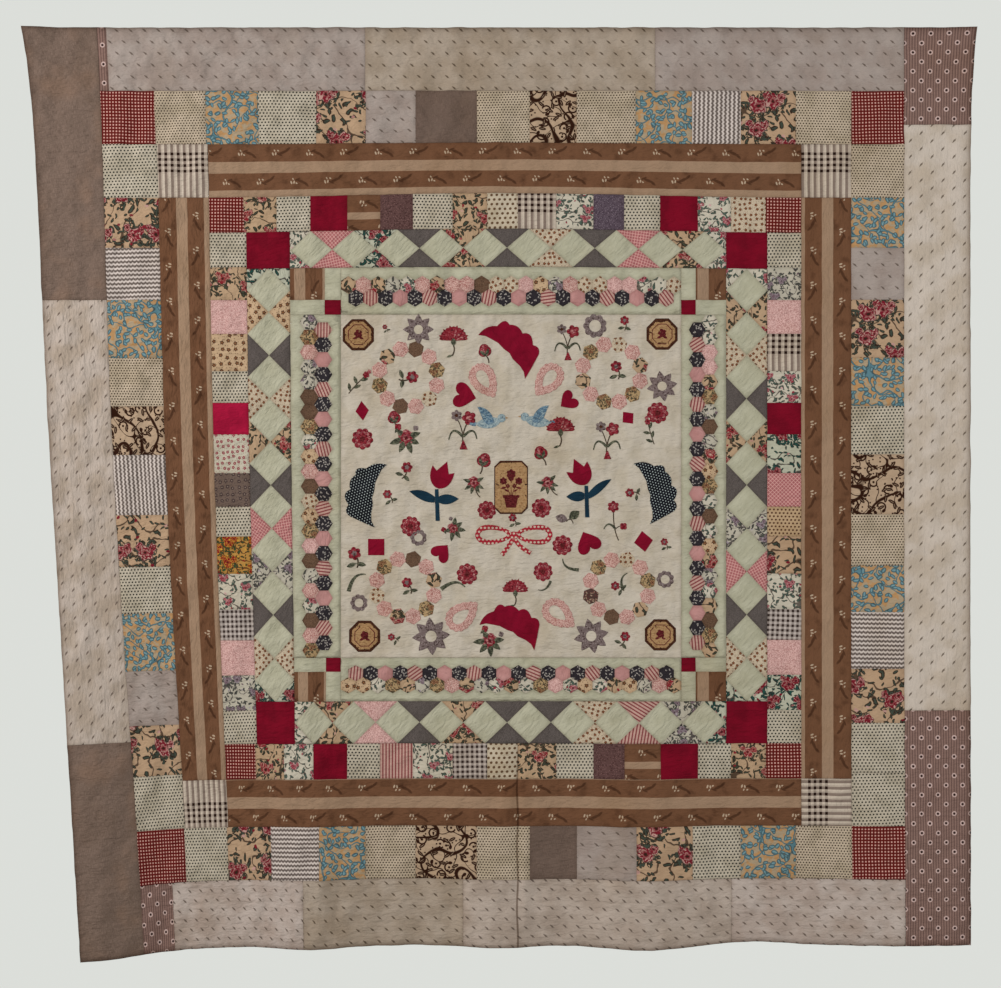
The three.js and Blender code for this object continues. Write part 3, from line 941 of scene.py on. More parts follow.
def medley(cloth, ground, ink, second, pitch):
    """A close all-over print of small shapes in two colours."""
    shapes = cloth.scatter(pitch).turned()
    base = cloth.mix(ground, ink, shapes.spot(0, 0, pitch * 0.42, pitch * 0.2) * (shapes.second > 0.3))
    other = cloth.scatter(pitch * 0.7, 1.0, 3.0)
    return cloth.mix(base, second, other.spot(0, 0, pitch * 0.14, pitch * 0.14) * (other.luck > 0.45))


def chain(cloth, ground, ring):
    return cloth.mix(ground, ring, cloth.repeat(11.0, 11.0, 0.5).spot(0, 0, 3.4, 3.0))


def petal_print(cloth, colour, pale, dark):
    """Printed petals: streaks and mottles round a deeper middle."""
    base = cloth.mix(colour, pale, cloth.noise(3.2, 2.0, 2.6).between(0.42, 0.66) * 0.75)
    return cloth.mix(base, dark, cloth.noise(6.0, 2.0, 1.0, 3.0).between(0.52, 0.68) * 0.8)


# The cloths of each print: name, colours and measures.
PRINTS = {
    woollen: """
    grey_brown #77645a #604f46 #7d6353
    brown_weave #6b5950 #5b4a42 #6f5d54""",
    sprigs: """
    lilac_sprig #9b8e88 #8f8079 #554840 40 33
    lilac_sprig_low #b0a29b #a08f86 #54473e 38 27
    lilac_sprig_side #b0a299 #9f8f82 #5a4c44 39 33
    beige_sprig #a19285 #938374 #483a2c 40 33
    beige_sprig_side #bdb0a6 #b0a193 #54473c 45 31
    grey_sprig #ad9e94 #9c8c81 #574a42 37 26""",
    rings: "mauve_rings #82675f #5a4440 #baa09b #2e1f1d",
    checks: "red_check #5a1411 #c8988e 9.2",
    dots: """
    beige_dots #b1a08d #a49480 #3a2e22 8.4
    white_dots #b1a696 #a49988 #2f2e29 10
    leaf_dots #b6a895 #a99983 #5c4430 15
    tan_dots #ad9274 #a18566 #4d3020 11
    navy_dot #16171e #111218 #a3acab 8.2 0.19""",
    blue_vine: "blue_vine #9f8c74 #aa8259 #567883 #7f979b #3a4f55",
    brown_vine: "brown_vine #a88f78 #2b1409",
    waves: "wavy #c2b5af #544843 12.4",
    floral: """
    chintz #a98c72 #6f1a26 #b08880 #3b4239 #2f1f17 104 0.235
    chintz_small #a88c71 #7c2028 #b28b7e #3b4034 #2f1f17 80 0.21
    white_floral #b8afa0 #862c3a #b99694 #465a50 #3f3430 66 0.17
    grey_floral #aba395 #665058 #9b9095 #464a42 #3a3033 56 0.19
    dark_floral #a9a897 #6c1220 #a87a76 #1f4740 #2a1c1c 80 0.26
    fruit_print #a57a3e #7e141c #bf8f36 #2d4a2e #4b1e14 60 0.3
    wreath_tan #a18663 #633628 #ab9068 #474836 #422c22 34 0.27""",
    plain: """
    red #72081f #65071b
    bright_red #9c1336 #8e1030
    crimson #770924 #6d0820
    teal #163040 #122836
    mint #aba793 #a19d88
    ground #b7ac9f #afa393
    backing #b5aa98 #a89c88
    pink_plain #b1827f #a67673
    thread #a89d8c #988c79""",
    medley: """
    slate #554d4a #463f3d #6b6160 4
    purple_print #563d3b #432b2a #7a5a58 7
    purple_dots #52454f #40343d #7d6f78 7
    grey_print #6b5c5b #483937 #918380 9
    brown_plain #5e4637 #4c382c #75604e 5
    navy_floral #2b272b #948c87 #1c191c 8
    wreath_dark #4a3530 #8f7967 #6c252a 9""",
    vermicelli: """
    pink #c9a29d #ab807c 10
    pink_ring #bf9b93 #9a6a63 9""",
    stripes: "pink_stripe #b38f85 #7c4040 9",
    lattice: "pink_lattice #9a5c5d #c69590 11",
    stripe_print: "brown_stripe #674632 #937863 #b9a48e #2d160a #8c7158",
    plaid: "plaid #baab9d #6a5850 #22120b 18",
    gingham: "gingham #b3a6a0 #2b1c17 14",
    small_flowers: """
    tan_floral #b5a48f #5e3a28 #8a5230 15
    tan_flowers #b3977a #523625 #83583a 21
    red_white_floral #b3ab9b #7f2431 #a88883 16
    purple_floral #65544c #3b2d2e #85756a 18""",
    chain: "red_rings #93242f #b9a496",
    petal_print: """
    carnation #6f1520 #94444a #3a0f16
    rose_pink #80303b #b58982 #551622
    leaf_green #3b3d31 #706f5c #23251d
    stem_brown #3c3026 #5b4c3c #2a2018
    blue_print #4a6479 #8a9ba2 #2b4055
    pale_blue #7c8c93 #a0a8a6 #506574
    dark_brown #3c1f14 #4d3021 #2b140c
    tan_print #987552 #a58560 #7c5c3c
    dark_red_print #4c1418 #6a2c2c #36100f""",
}
CLOTHS = {
    name: (paint, [word if word.startswith("#") else float(word) for word in words])
    for paint, rows in PRINTS.items()
    for name, *words in map(str.split, rows.strip().splitlines())
}


def cloth_material(name):
    """The material of a cloth, made once."""
    found = bpy.data.materials.get(f"cloth_{name}")
    if found is not None:
        return found
    paint, values = CLOTHS[name]
    cloth = Cloth(f"cloth_{name}")
    return cloth.finish(paint(cloth, *values))


# The lengths and patches of each border

# Name, length from the top or the left of its side (none takes the rest) and cloth.
OUTER_PIECES = (
    ("outer_left_upper", 775, "grey_brown"),
    ("outer_left_middle", 1248, "lilac_sprig_side"),
    ("outer_left_lower", None, "grey_brown"),
    ("outer_top_tab", 26, "mauve_rings"),
    ("outer_top_left", 738, "lilac_sprig"),
    ("outer_top_middle", 826, "beige_sprig"),
    ("outer_top_right", None, "lilac_sprig"),
    ("outer_right_upper", 276, "mauve_rings"),
    ("outer_right_middle", 1668, "beige_sprig_side"),
    ("outer_right_lower", None, "mauve_rings"),
    ("outer_bottom_tab", 106, "mauve_rings"),
    ("outer_bottom_left", 460, "lilac_sprig_low"),
    ("outer_bottom_middle", 477, "beige_sprig"),
    ("outer_bottom_grey", 764, "grey_sprig"),
    ("outer_bottom_right", None, "lilac_sprig_low"),
)
OUTER_SLOTS = {
    "grey_brown": "grey_brown_wool",
    "lilac_sprig": "lilac_sprig_print",
    "beige_sprig": "beige_sprig_print",
    "grey_sprig": "grey_sprig_print",
    "mauve_rings": "mauve_ring_print",
}

# Patches from the left or from the top; a number after a stroke is how far the cloth is turned.
BIG_PATCHES = {
    "top": "red_check beige_dots blue_vine white_dots chintz lilac_sprig brown_weave beige_dots brown_vine "
    "beige_dots blue_vine wavy/90 chintz beige_dots red_check",
    "bottom": "red_check white_dots chintz wavy blue_vine beige_dots brown_vine beige_dots brown_weave "
    "lilac_sprig chintz white_dots blue_vine beige_dots red_check",
    "left": "white_dots chintz wavy blue_vine beige_dots brown_vine wavy/90 chintz white_dots blue_vine "
    "lilac_sprig chintz white_dots",
    "right": "beige_dots blue_vine lilac_sprig chintz blue_vine white_dots brown_vine beige_dots blue_vine "
    "wavy chintz white_dots white_dots",
}
SMALL_PATCHES = {
    "top": "red_check chintz_small white_dots red brown_stripe purple_print white_dots chintz_small "
    "leaf_dots plaid white_floral purple_dots/45 white_dots red white_floral tan_floral red_check",
    "bottom": "red_check chintz_small white_floral red white_dots pink_stripe white_floral gingham leaf_dots "
    "chintz_small white_dots purple_print brown_stripe red white_dots chintz_small red_check",
    "left": "white_dots chintz_small pink tan_flowers white_dots bright_red red_white_floral purple_floral "
    "white_dots fruit_print white_floral gingham pink grey_floral white_dots",
    "right": "white_dots grey_floral pink plaid white_floral red dark_floral pink_lattice tan_dots "
    "chintz white_floral gingham pink dark_floral white_dots",
}
DIAMOND_GAPS = {
    "top": "white_floral pink_lattice dark_floral slate chintz_small slate tan_floral slate pink_lattice "
    "chintz_small white_floral",
    "bottom": "dark_floral grey_floral pink_stripe tan_floral slate slate chintz_small slate pink "
    "chintz_small white_floral",
    "left": "dark_floral tan_floral slate grey_floral pink_lattice slate chintz_small tan_floral slate "
    "tan_flowers dark_floral",
    "right": "white_floral chintz_small tan_floral slate chintz_small slate grey_floral pink_lattice slate "
    "tan_floral dark_floral",
}
DIAMONDS_IN_ROW = 10
DIAMOND_CELLS = 82
HEXAGON_CELLS = 22
HEXAGON_INNER = "pink_plain navy_floral pink_stripe navy_floral".split()
HEXAGON_OUTER = (
    "tan_floral pink_ring brown_plain white_floral chintz_small pink tan_flowers grey_floral wreath_tan"
).split()
HEXAGONS_IN_ROW = 23
HEXAGON_STRIP_OUTER = 0.18
HEXAGON_STRIP_INNER = 0.17
BROWN_SHARE = 0.68
PATCH_SEED = 23


def build_outer_border(sizes):
    sides = sides_of(HEM, BIG_SQUARES)
    reached = {"top": BIG_SQUARES.left, "bottom": BIG_SQUARES.left, "left": HEM.top, "right": HEM.top}
    for name, length, cloth in OUTER_PIECES:
        side = name.split("_")[1]
        turn = 90 if cloth.endswith("_side") else 0
        first, last = ("left", "right") if is_lying(side) else ("top", "bottom")
        end = BIG_SQUARES.right if is_lying(side) else HEM.bottom
        start, stop = reached[side], end if length is None else reached[side] + length
        reached[side] = stop
        area = sides[side]._replace(**{first: start, last: stop})
        slot = OUTER_SLOTS[cloth.removesuffix("_low").removesuffix("_side")]
        one_cloth_panel(name, slot, area, cloth, cloth_lie(middle_of(area), turn), sizes)


def build_square_border(name, outer, inner, counts, patches, sizes):
    draw = np.random.default_rng(PATCH_SEED)
    for side, area in sides_of(outer, inner).items():
        if is_lying(side):
            area = area._replace(left=outer.left, right=outer.right)
        across, down = (counts[0], 1) if is_lying(side) else (1, counts[1])
        columns = patch_seams(area.left, area.right, across)
        rows = patch_seams(area.top, area.bottom, down)
        panel = Panel(f"{name}_{side}", f"{name.removesuffix('s')}_prints", area, sizes)
        for k, patch in enumerate(patches[side].split()):
            column, row = (k, 0) if is_lying(side) else (0, k)
            square = Area(columns[column], columns[column + 1], rows[row], rows[row + 1])
            cloth, _stroke, turn = patch.partition("/")
            turn = float(turn or 0)
            slide = draw.uniform(-300, 300, 2)
            lie = cloth_lie(np.add(middle_of(square), slide), turn + draw.uniform(-2, 2))
            if cloth in ("plaid", "brown_stripe"):
                lie = cloth_lie(middle_of(square), turn)
            panel.add_rectangle(square, cloth, lie)
        panel.declare(panel.build())


def build_stripe_border(sizes):
    # The corner that each cloth starts from, and the directions along and up it.
    lies = {
        "top": ("left", "top", (1, 0), (0, 1)),
        "bottom": ("left", "bottom", (1, 0), (0, -1)),
        "left": ("left", "top", (0, 1), (1, 0)),
        "right": ("right", "top", (0, 1), (-1, 0)),
    }
    for side, area in sides_of(STRIPE, SMALL_SQUARES).items():
        lying, upright, along, up = lies[side]
        corner = (getattr(area, lying), getattr(area, upright))
        lie = tuple(np.asarray(part, float) for part in (corner, along, up))
        one_cloth_panel(f"stripe_{side}", "brown_stripe_print", area, "brown_stripe", lie, sizes)
    turns = {"top_left": 0, "top_right": 0, "bottom_left": 180, "bottom_right": 90}
    for corner, area in corner_areas(STRIPE, SMALL_SQUARES).items():
        lie = cloth_lie(middle_of(area), turns[corner])
        one_cloth_panel(f"plaid_corner_{corner}", "plaid_print", area, "plaid", lie, sizes)


def along_side(side, area):
    """A function from a place along a side and a depth into it, as shares, to the plan."""
    left, right, top, bottom = area
    wide, high = right - left, bottom - top
    return {
        "top": lambda s, t: (left + wide * s, top + high * t),
        "bottom": lambda s, t: (right - wide * s, bottom - high * t),
        "left": lambda s, t: (left + wide * t, bottom - high * s),
        "right": lambda s, t: (right - wide * t, top + high * s),
    }[side]


def build_diamond_border(sizes):
    draw = np.random.default_rng(PATCH_SEED + 1)
    count = DIAMONDS_IN_ROW
    cells = round(DIAMOND_CELLS * MM / sizes.cell)
    for side, area in sides_of(DIAMONDS, HEXAGONS).items():
        at = along_side(side, area)
        panel = Panel(f"diamonds_{side}", "diamond_prints", area, sizes)
        for k in range(count):
            middle = (k + 0.5) / count
            corners = [at(middle, 0), at((k + 1) / count, 0.5), at(middle, 1), at(k / count, 0.5)]
            points, faces = four_sided(corners, cells, cells)
            panel.add(points, faces, corners, "mint", cloth_lie(corners[0], 45))
        for k, cloth in enumerate(DIAMOND_GAPS[side].split()):
            before, here, after = max(0, k - 0.5) / count, k / count, min(count, k + 0.5) / count
            for near in (0.0, 1.0):
                corners = [at(before, near), at(here, 0.5), at(after, near)]
                if near:
                    corners.reverse()
                points, faces = three_sided(corners, cells)
                panel.add(points, faces, corners, cloth, loose_lie(draw, corners[1], 200, 180))
        panel.declare(panel.build())
    for corner, area in corner_areas(DIAMONDS, HEXAGONS).items():
        lie = cloth_lie(middle_of(area))
        one_cloth_panel(f"red_corner_{corner}", "red_cotton", area, "red", lie, sizes)


def add_hexagon(panel, at, middle, half, tall, cells, cloth, lie):
    """Adds a hexagon with a point towards each edge of the border."""
    s, t = middle
    ways = ((0, -1), (-1, -0.5), (-1, 0.5), (0, 1), (1, 0.5), (1, -0.5))
    corners = [at(s + across * half, t + down * tall) for across, down in ways]
    for k in range(6):
        points, faces = three_sided([at(s, t), corners[k], corners[(k + 1) % 6]], cells)
        panel.add(points, faces, corners, cloth, lie)


def build_hexagon_border(sizes):
    draw = np.random.default_rng(PATCH_SEED + 2)
    count = HEXAGONS_IN_ROW
    half = 1 / count / 2
    tall = (1 - HEXAGON_STRIP_OUTER - HEXAGON_STRIP_INNER) / 3.5
    upper = HEXAGON_STRIP_OUTER + tall
    lower = upper + 1.5 * tall
    cells = max(3, round(HEXAGON_CELLS * MM / sizes.cell))
    rows = (
        (0, upper, upper - tall, upper - tall / 2, [k + 0.5 for k in range(count)]),
        (1, lower, lower + tall, lower + tall / 2, range(1, count)),
    )
    for side, area in sides_of(HEXAGONS, FIELD).items():
        at = along_side(side, area)
        panel = Panel(f"hexagons_{side}", "hexagon_prints", area, sizes)
        lie = cloth_lie(middle_of(area))
        for edge, depth, tip, shoulder, steps in rows:
            for step in steps:
                s = step / count
                cloth = HEXAGON_INNER[step % len(HEXAGON_INNER)] if edge else str(draw.choice(HEXAGON_OUTER))
                hexagon_lie = loose_lie(draw, at(s, depth), 90, 180)
                add_hexagon(panel, at, (s, depth), half, tall, cells, cloth, hexagon_lie)
                for first, last, depths in ((-half, 0, (tip, shoulder)), (0, half, (shoulder, tip))):
                    places = ((first, edge), (last, edge), (last, depths[0]), (first, depths[1]))
                    corners = [at(s + across, down) for across, down in places]
                    if edge:
                        corners = [corners[0], *corners[:0:-1]]
                    points, faces = four_sided(corners, cells, cells)
                    panel.add(points, faces, corners, "mint", lie, sewn=False)
        for start, inward in ((0.0, half), (1.0, -half)):
            ends = [(0, upper + tall / 2), (0, 1), (inward, 1)]
            ends += [(inward, lower + tall / 2), (inward, lower - tall / 2)]
            corners = [at(start + across, down) for across, down in ends]
            for picked in ((0, 1, 2), (0, 2, 3), (0, 3, 4)):
                wedge = [corners[k] for k in picked]
                points, faces = three_sided(wedge[::-1] if start else wedge, cells)
                panel.add(points, faces, corners, "mint", lie, sewn=False)
        panel.declare(panel.build())
    build_brown_corners(sizes)


def build_brown_corners(sizes):
    """The brown patch, two plain scraps and a small red square of each corner."""
    for corner, area in corner_areas(HEXAGONS, FIELD).items():
        upright, lying = corner.split("_")
        share_across = BROWN_SHARE if lying == "left" else 1 - BROWN_SHARE
        share_down = BROWN_SHARE if upright == "top" else 1 - BROWN_SHARE
        x = area.left + (area.right - area.left) * share_across
        y = area.top + (area.bottom - area.top) * share_down
        panel = Panel(f"brown_corner_{corner}", "brown_print", area, sizes)
        for row, top, bottom in (("top", area.top, y), ("bottom", y, area.bottom)):
            for column, left, right in (("left", area.left, x), ("right", x, area.right)):
                cloth = ("brown_stripe", "mint", "red")[(row != upright) + (column != lying)]
                square = Area(left, right, top, bottom)
                turn = 90 if cloth == "brown_stripe" else 0
                panel.add_rectangle(square, cloth, cloth_lie(np.add(middle_of(square), (45, 30)), turn))
        panel.declare(panel.build())


# Outlines of cut-out shapes


def polar(reach, angle):
    return np.stack([reach * np.cos(angle), reach * np.sin(angle)], axis=1)


def angles(count):
    return np.linspace(0, 2 * np.pi, count, endpoint=False)


def leaf(length, width, steps=9):
    share = np.linspace(0, 1, steps)
    half = width / 2 * np.sin(np.pi * share) ** 0.85
    upper = np.stack([length * share, half], axis=1)
    lower = np.stack([length * share, -half], axis=1)[-2:0:-1]
    return np.concatenate([upper, lower])[::-1]


def blossom(radius, petals, depth, per_petal=6):
    angle = angles(petals * per_petal)
    return polar(radius * (1 - depth + depth * np.abs(np.sin(petals * angle / 2))), angle)


def polygon(radius, sides, start=0.0):
    return polar(radius, angles(sides) + math.radians(start))


def finer(outline, spacing):
    """The same outline with points at most `spacing` apart."""
    points = []
    for start, end in zip(outline, np.roll(outline, -1, axis=0)):
        pieces = max(1, math.ceil(np.hypot(*(end - start)) / spacing))
        points += [start + (end - start) * j / pieces for j in range(pieces)]
    return np.array(points)


def moved(outline, across=0.0, up=0.0, turn=0.0, size=1.0):
    c, s = math.cos(math.radians(turn)), math.sin(math.radians(turn))
    x, y = outline.T
    return np.stack([(x * c - y * s) * size + across, (x * s + y * c) * size + up], axis=1)


def bent_ribbon(points, width, taper=0.0, steps=14):
    """A narrow strip along a smooth line through some points."""
    share = np.linspace(0, 1, steps)
    knots = np.linspace(0, 1, len(points))
    line = np.stack([np.polyval(np.polyfit(knots, part, 2), share) for part in np.transpose(points)], axis=1)
    run = np.gradient(line, axis=0)
    run /= np.linalg.norm(run, axis=1, keepdims=True)
    half = width / 2 * (1 - taper * share)[:, None] * np.stack([-run[:, 1], run[:, 0]], axis=1)
    return line + half, line - half


def shoelace(outline):
    x, y = outline.T
    return float(np.sum(x * np.roll(y, -1) - np.roll(x, -1) * y) / 2)


def bezier(start, *curves, steps=8):
    points = [np.asarray(start, float)]
    for curve in curves:
        p = [points[-1]] + [np.asarray(c, float) for c in curve]
        order = len(p) - 1
        for t in np.linspace(0, 1, steps + 1)[1:]:
            shares = [math.comb(order, k) * (1 - t) ** (order - k) * t**k for k in range(order + 1)]
            points.append(sum(share * each for share, each in zip(shares, p)))
    return np.array(points[:-1])


# A crescent's curves to each valley between its lobes, and its inner edge, as shares of half its chord.
CRESCENT_CURVES = (
    ((-1.04, 0.39), (-0.76, 0.61)),
    ((-0.77, 1.0), (-0.5, 0.9)),
    ((-0.3, 1.12), (-0.02, 0.98)),
    ((0.16, 1.26), (0.46, 0.94)),
    ((0.69, 1.07), (0.8, 0.84)),
    ((0.92, 0.4), (1, 0)),
)
CRESCENT_EDGE = (
    (-1, -0.82, -0.58, -0.37, -0.1, 0.1, 0.3, 0.6, 0.82, 1),
    (0, 0.135, 0.2, 0.25, 0.23, 0.26, 0.19, 0.19, 0.14, 0),
)
TULIP_FORK = -30.0
TULIP_FOOT = (3.0, -90.0)


def crescent_lines(half_chord, side):
    """The lobed line and the inner line between the two tips; side is -1 for one that is turned over."""
    outer = np.concatenate([bezier((-1, 0), *CRESCENT_CURVES), [(1, 0)]])
    knots = np.linspace(0, 1, len(CRESCENT_EDGE[0]))
    share = np.linspace(0, 1, len(outer))
    inner = np.stack([np.interp(share, knots, line) for line in CRESCENT_EDGE], axis=1)
    scale = np.array([side, 1]) * half_chord
    return outer * scale, inner * scale


def heart_outline(width):
    curves = (
        ((-0.5, -0.45), (-1, -0.1), (-1, 0.35)),
        ((-1, 0.95), (-0.15, 0.95), (0, 0.4)),
        ((0.15, 0.95), (1, 0.95), (1, 0.35)),
        ((1, -0.1), (0.5, -0.45), (0, -0.95)),
    )
    return bezier((0, -0.95), *curves) * width / 2


def tulip_head_outline():
    cup = bezier((-4, 3.2), ((-37, 14), (-35, 59)))
    points = [(-35, 59), (-19, 49), (0, 84), (17, 52), (31, 61)]
    back = bezier((31, 61), ((38, 14), (5, 3.2)))[1:]
    return np.concatenate([cup, points, back, [(5, 3.2)]])


def tulip_leaf_outline(side, tip):
    """One leaf, from its two ends on the stem to its tip."""
    middle = np.array([tip[0] / 2, (tip[1] + TULIP_FORK) / 2])
    upper = bezier((side * 5, TULIP_FORK + 8), (middle + (0, 24), tip))
    lower = bezier(tip, (middle - (0, 24), (side * 5, TULIP_FORK - 8)))
    return np.concatenate([upper, lower, [(side * 5, TULIP_FORK - 8)]]), middle


# Cut-out shapes

CUTOUT_BASE = 0.2
CUTOUT_FOOT = 0.12
CUTOUT_LAYER = 0.16
CUTOUT_CELL = 7.0


def ring_faces(rings, count, closed=True):
    """Faces between rings of `count` points each that lie one after the other."""
    sides = [(k, (k + 1) % count) for k in range(count - (not closed))]
    rows = range(0, (rings - 1) * count, count)
    return [(row + k, row + j, row + count + j, row + count + k) for row in rows for k, j in sides]


class Cutouts(Patchwork):
    """Shapes cut from cloth and sewn flat on the ground, as one piece."""

    def __init__(self, name, slot, sizes):
        super().__init__(name, slot, sizes)
        self.flat_area = 0.0
        self.draw = np.random.default_rng(PATCH_SEED + 3)

    def keep(self, points, out, faces, cloth):
        """Keeps the points of one shape; places on the cloth are the shape's own."""
        slide = np.array([37.0 * self.count % 211, 53.0 * self.count % 173])
        self.gather(points, out, faces, points + slide, cloth)

    def shape(self, outline, cloth, layer=0, middle=None, lift=0.35, dome=0.25, spacing=6.0):
        """A shape that can be seen whole from its middle, with soft turned edges."""
        outline = finer(np.asarray(outline, float), spacing)
        middle = outline.mean(axis=0) if middle is None else np.asarray(middle, float)
        reach = np.linalg.norm(outline - middle, axis=1).max()
        rim = 1 - min(0.4, 1.2 / reach)
        inner = max(1, round(reach / CUTOUT_CELL))
        steps = [1.0, 1.0, rim, *(rim * (1 - k / (inner + 1)) for k in range(1, inner + 1))]
        base = CUTOUT_BASE + layer * CUTOUT_LAYER
        heights = [CUTOUT_FOOT, base + lift * 0.6, base + lift]
        heights += [base + lift + dome * (1 - step) for step in steps[3:]]
        count = len(outline)
        points = np.concatenate([middle + (outline - middle) * step for step in steps] + [middle[None, :]])
        out = np.append(np.repeat(heights, count), heights[-1] + dome * 0.1)
        last = (len(steps) - 1) * count
        faces = ring_faces(len(steps), count)
        faces += [(last + k, last + (k + 1) % count, len(points) - 1) for k in range(count)]
        if shoelace(outline) < 0:
            faces = [face[::-1] for face in faces]
        self.flat_area += abs(shoelace(outline)) * MM * MM
        self.keep(points, out, faces, cloth)

    def band(self, first, second, cloth, layer=0, closed=False, lift=0.35, inner=3, edge=0.12):
        """A strip between two lines of points, such as a stem or a ring, with some inner lines."""
        base = CUTOUT_BASE + layer * CUTOUT_LAYER
        side, top = base + lift * 0.6, base + lift
        shares = [0.0, 0.0, *np.linspace(edge, 1 - edge, inner), 1.0, 1.0]
        heights = [CUTOUT_FOOT, side, top, *[top + 0.15] * (inner - 2), top, side, CUTOUT_FOOT]
        count = len(first)
        points = np.concatenate([first + (second - first) * share for share in shares])
        faces = ring_faces(len(shares), count, closed)
        middle = count // 2
        across = second[middle] - first[middle]
        along = first[middle + 1] - first[middle]
        if along[0] * across[1] - along[1] * across[0] < 0:
            faces = [face[::-1] for face in faces]
        self.flat_area += abs(shoelace(np.concatenate([first, second[::-1]]))) * MM * MM
        self.keep(points, np.repeat(heights, count), faces, cloth)

    def bloom(self, radius, petals, depth, cloth, layer=0, across=0, up=0, turn=0, **look):
        self.shape(moved(blossom(radius, petals, depth), across, up, turn), cloth, layer, **look)

    def leaf(self, length, width, cloth, layer=0, across=0, up=0, turn=0, **look):
        self.shape(moved(leaf(length, width), across, up, turn), cloth, layer, **look)

    def stem(self, points, width, cloth="stem_brown", layer=0, taper=0.0):
        self.band(*bent_ribbon(points, width, taper), cloth, layer)

    def place(self, start, across, down, turn=0.0, size=1.0):
        """Moves the shapes added since `start` to their place, measured from the middle of the ground."""
        for k in range(start, len(self.points)):
            local = moved(self.points[k], 0, 0, turn, size)
            self.points[k] = FIELD_MIDDLE + np.array([across, down]) + local * np.array([1, -1])

    def build(self):
        plan = np.concatenate(self.points)
        seam = edge_distance(plan, corners_of(FIELD))
        out = front(plan, seam, self.sizes) + np.concatenate(self.heights)
        piece = make_mesh(self.name, hang(plan, out), self.faces)
        finish_piece(piece, self.places, self.cloths, self.names)
        return piece


# Name, the sizes of its shape, across, down, turn and cloth.
APPLIQUE = (
    ("crescent_top", (91, 1), -27, -368, -43, "crimson"),
    ("crescent_bottom", (86, 1), -12, 431, -25, "crimson"),
    ("crescent_left", (91, -1), -371, 28, 79, "navy_dot"),
    ("crescent_right", (89, 1), 372, 22, -75, "navy_dot"),
    ("heart_upper_left", (72,), -133, -258, 77, "crimson"),
    ("heart_upper_right", (56,), 163, -243, -54, "crimson"),
    ("heart_lower_left", (57,), -198, 188, 140, "crimson"),
    ("heart_lower_right", (70,), 219, 160, 205, "crimson"),
    ("tulip_head_left", (), -212, 8, -21, "crimson"),
    ("tulip_head_right", (), 214, -2, 25, "crimson"),
    ("tulip_leaves_left", ((-78, -6), (63, -28)), -212, 8, 0, "teal"),
    ("tulip_leaves_right", ((-57, -32), (72, 18)), 214, -2, 0, "teal"),
)
CLOTH_SLOTS = {"crimson": "crimson_cotton", "navy_dot": "navy_dot_print", "teal": "teal_cotton"}
APPLIQUE_LIFT = 0.75
APPLIQUE_LOOK = {"lift": APPLIQUE_LIFT, "dome": 0.5, "spacing": 5.0}


def build_applique(sizes):
    for name, measures, across, down, turn, cloth in APPLIQUE:
        cut = Cutouts(f"{name}_cloth", CLOTH_SLOTS[cloth], sizes)
        if "crescent" in name:
            cut.band(*crescent_lines(*measures), cloth, lift=APPLIQUE_LIFT, inner=14, edge=0.015)
        elif "heart" in name:
            cut.shape(heart_outline(*measures), cloth, middle=(0, 0), **APPLIQUE_LOOK)
        elif "head" in name:
            cut.shape(tulip_head_outline(), cloth, middle=(0, 34), **APPLIQUE_LOOK)
        else:
            for side, tip in zip((-1, 1), measures):
                outline, middle = tulip_leaf_outline(side, tip)
                cut.shape(outline, cloth, middle=middle, **APPLIQUE_LOOK)
            share = np.linspace(0, 1, 22)
            stem = np.stack([TULIP_FOOT[0] * share, TULIP_FOOT[1] * share - 0.5], axis=1)
            half = np.stack([5.2 + 0.9 * share, 0 * share], axis=1)
            cut.band(stem - half, stem + half, cloth, layer=1, lift=APPLIQUE_LIFT)
        cut.place(0, across, down, turn)
        piece = cut.build()
        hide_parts(name)


def open_rose(radius):
    """The layers of an open rose: size, petals, their depth and turn, and the cloth."""
    layers = (
        (1, 6, 0.14, 0, "rose_pink"),
        (0.74, 5, 0.18, 25, "carnation"),
        (0.52, 5, 0.2, 5, "rose_pink"),
        (0.28, 4, 0.2, 15, "dark_red_print"),
    )
    return [
        ("bloom", radius * share, petals, depth, cloth, layer, 0, 0, turn)
        for layer, (share, petals, depth, turn, cloth) in enumerate(layers)
    ]


def fan_petals():
    rows = []
    for k, turn in enumerate((20, 160, 48, 132, 76, 104)):
        x, y = 8 * math.cos(math.radians(turn)), 8 * math.sin(math.radians(turn))
        rows.append(("shape", moved(FAN_PETAL, turn=turn, size=1.05), "carnation", k % 3))
        rows.append(("leaf", 24, 5, "carnation" if k % 2 else "rose_pink", 3, x, y, turn))
    return rows


FAN_PETAL = np.array([(0, 0), (28, -9), (34, -8), (33, -3), (38, 0), (33, 3), (34, 8), (28, 9)], float)
GREEN = "leaf_green"
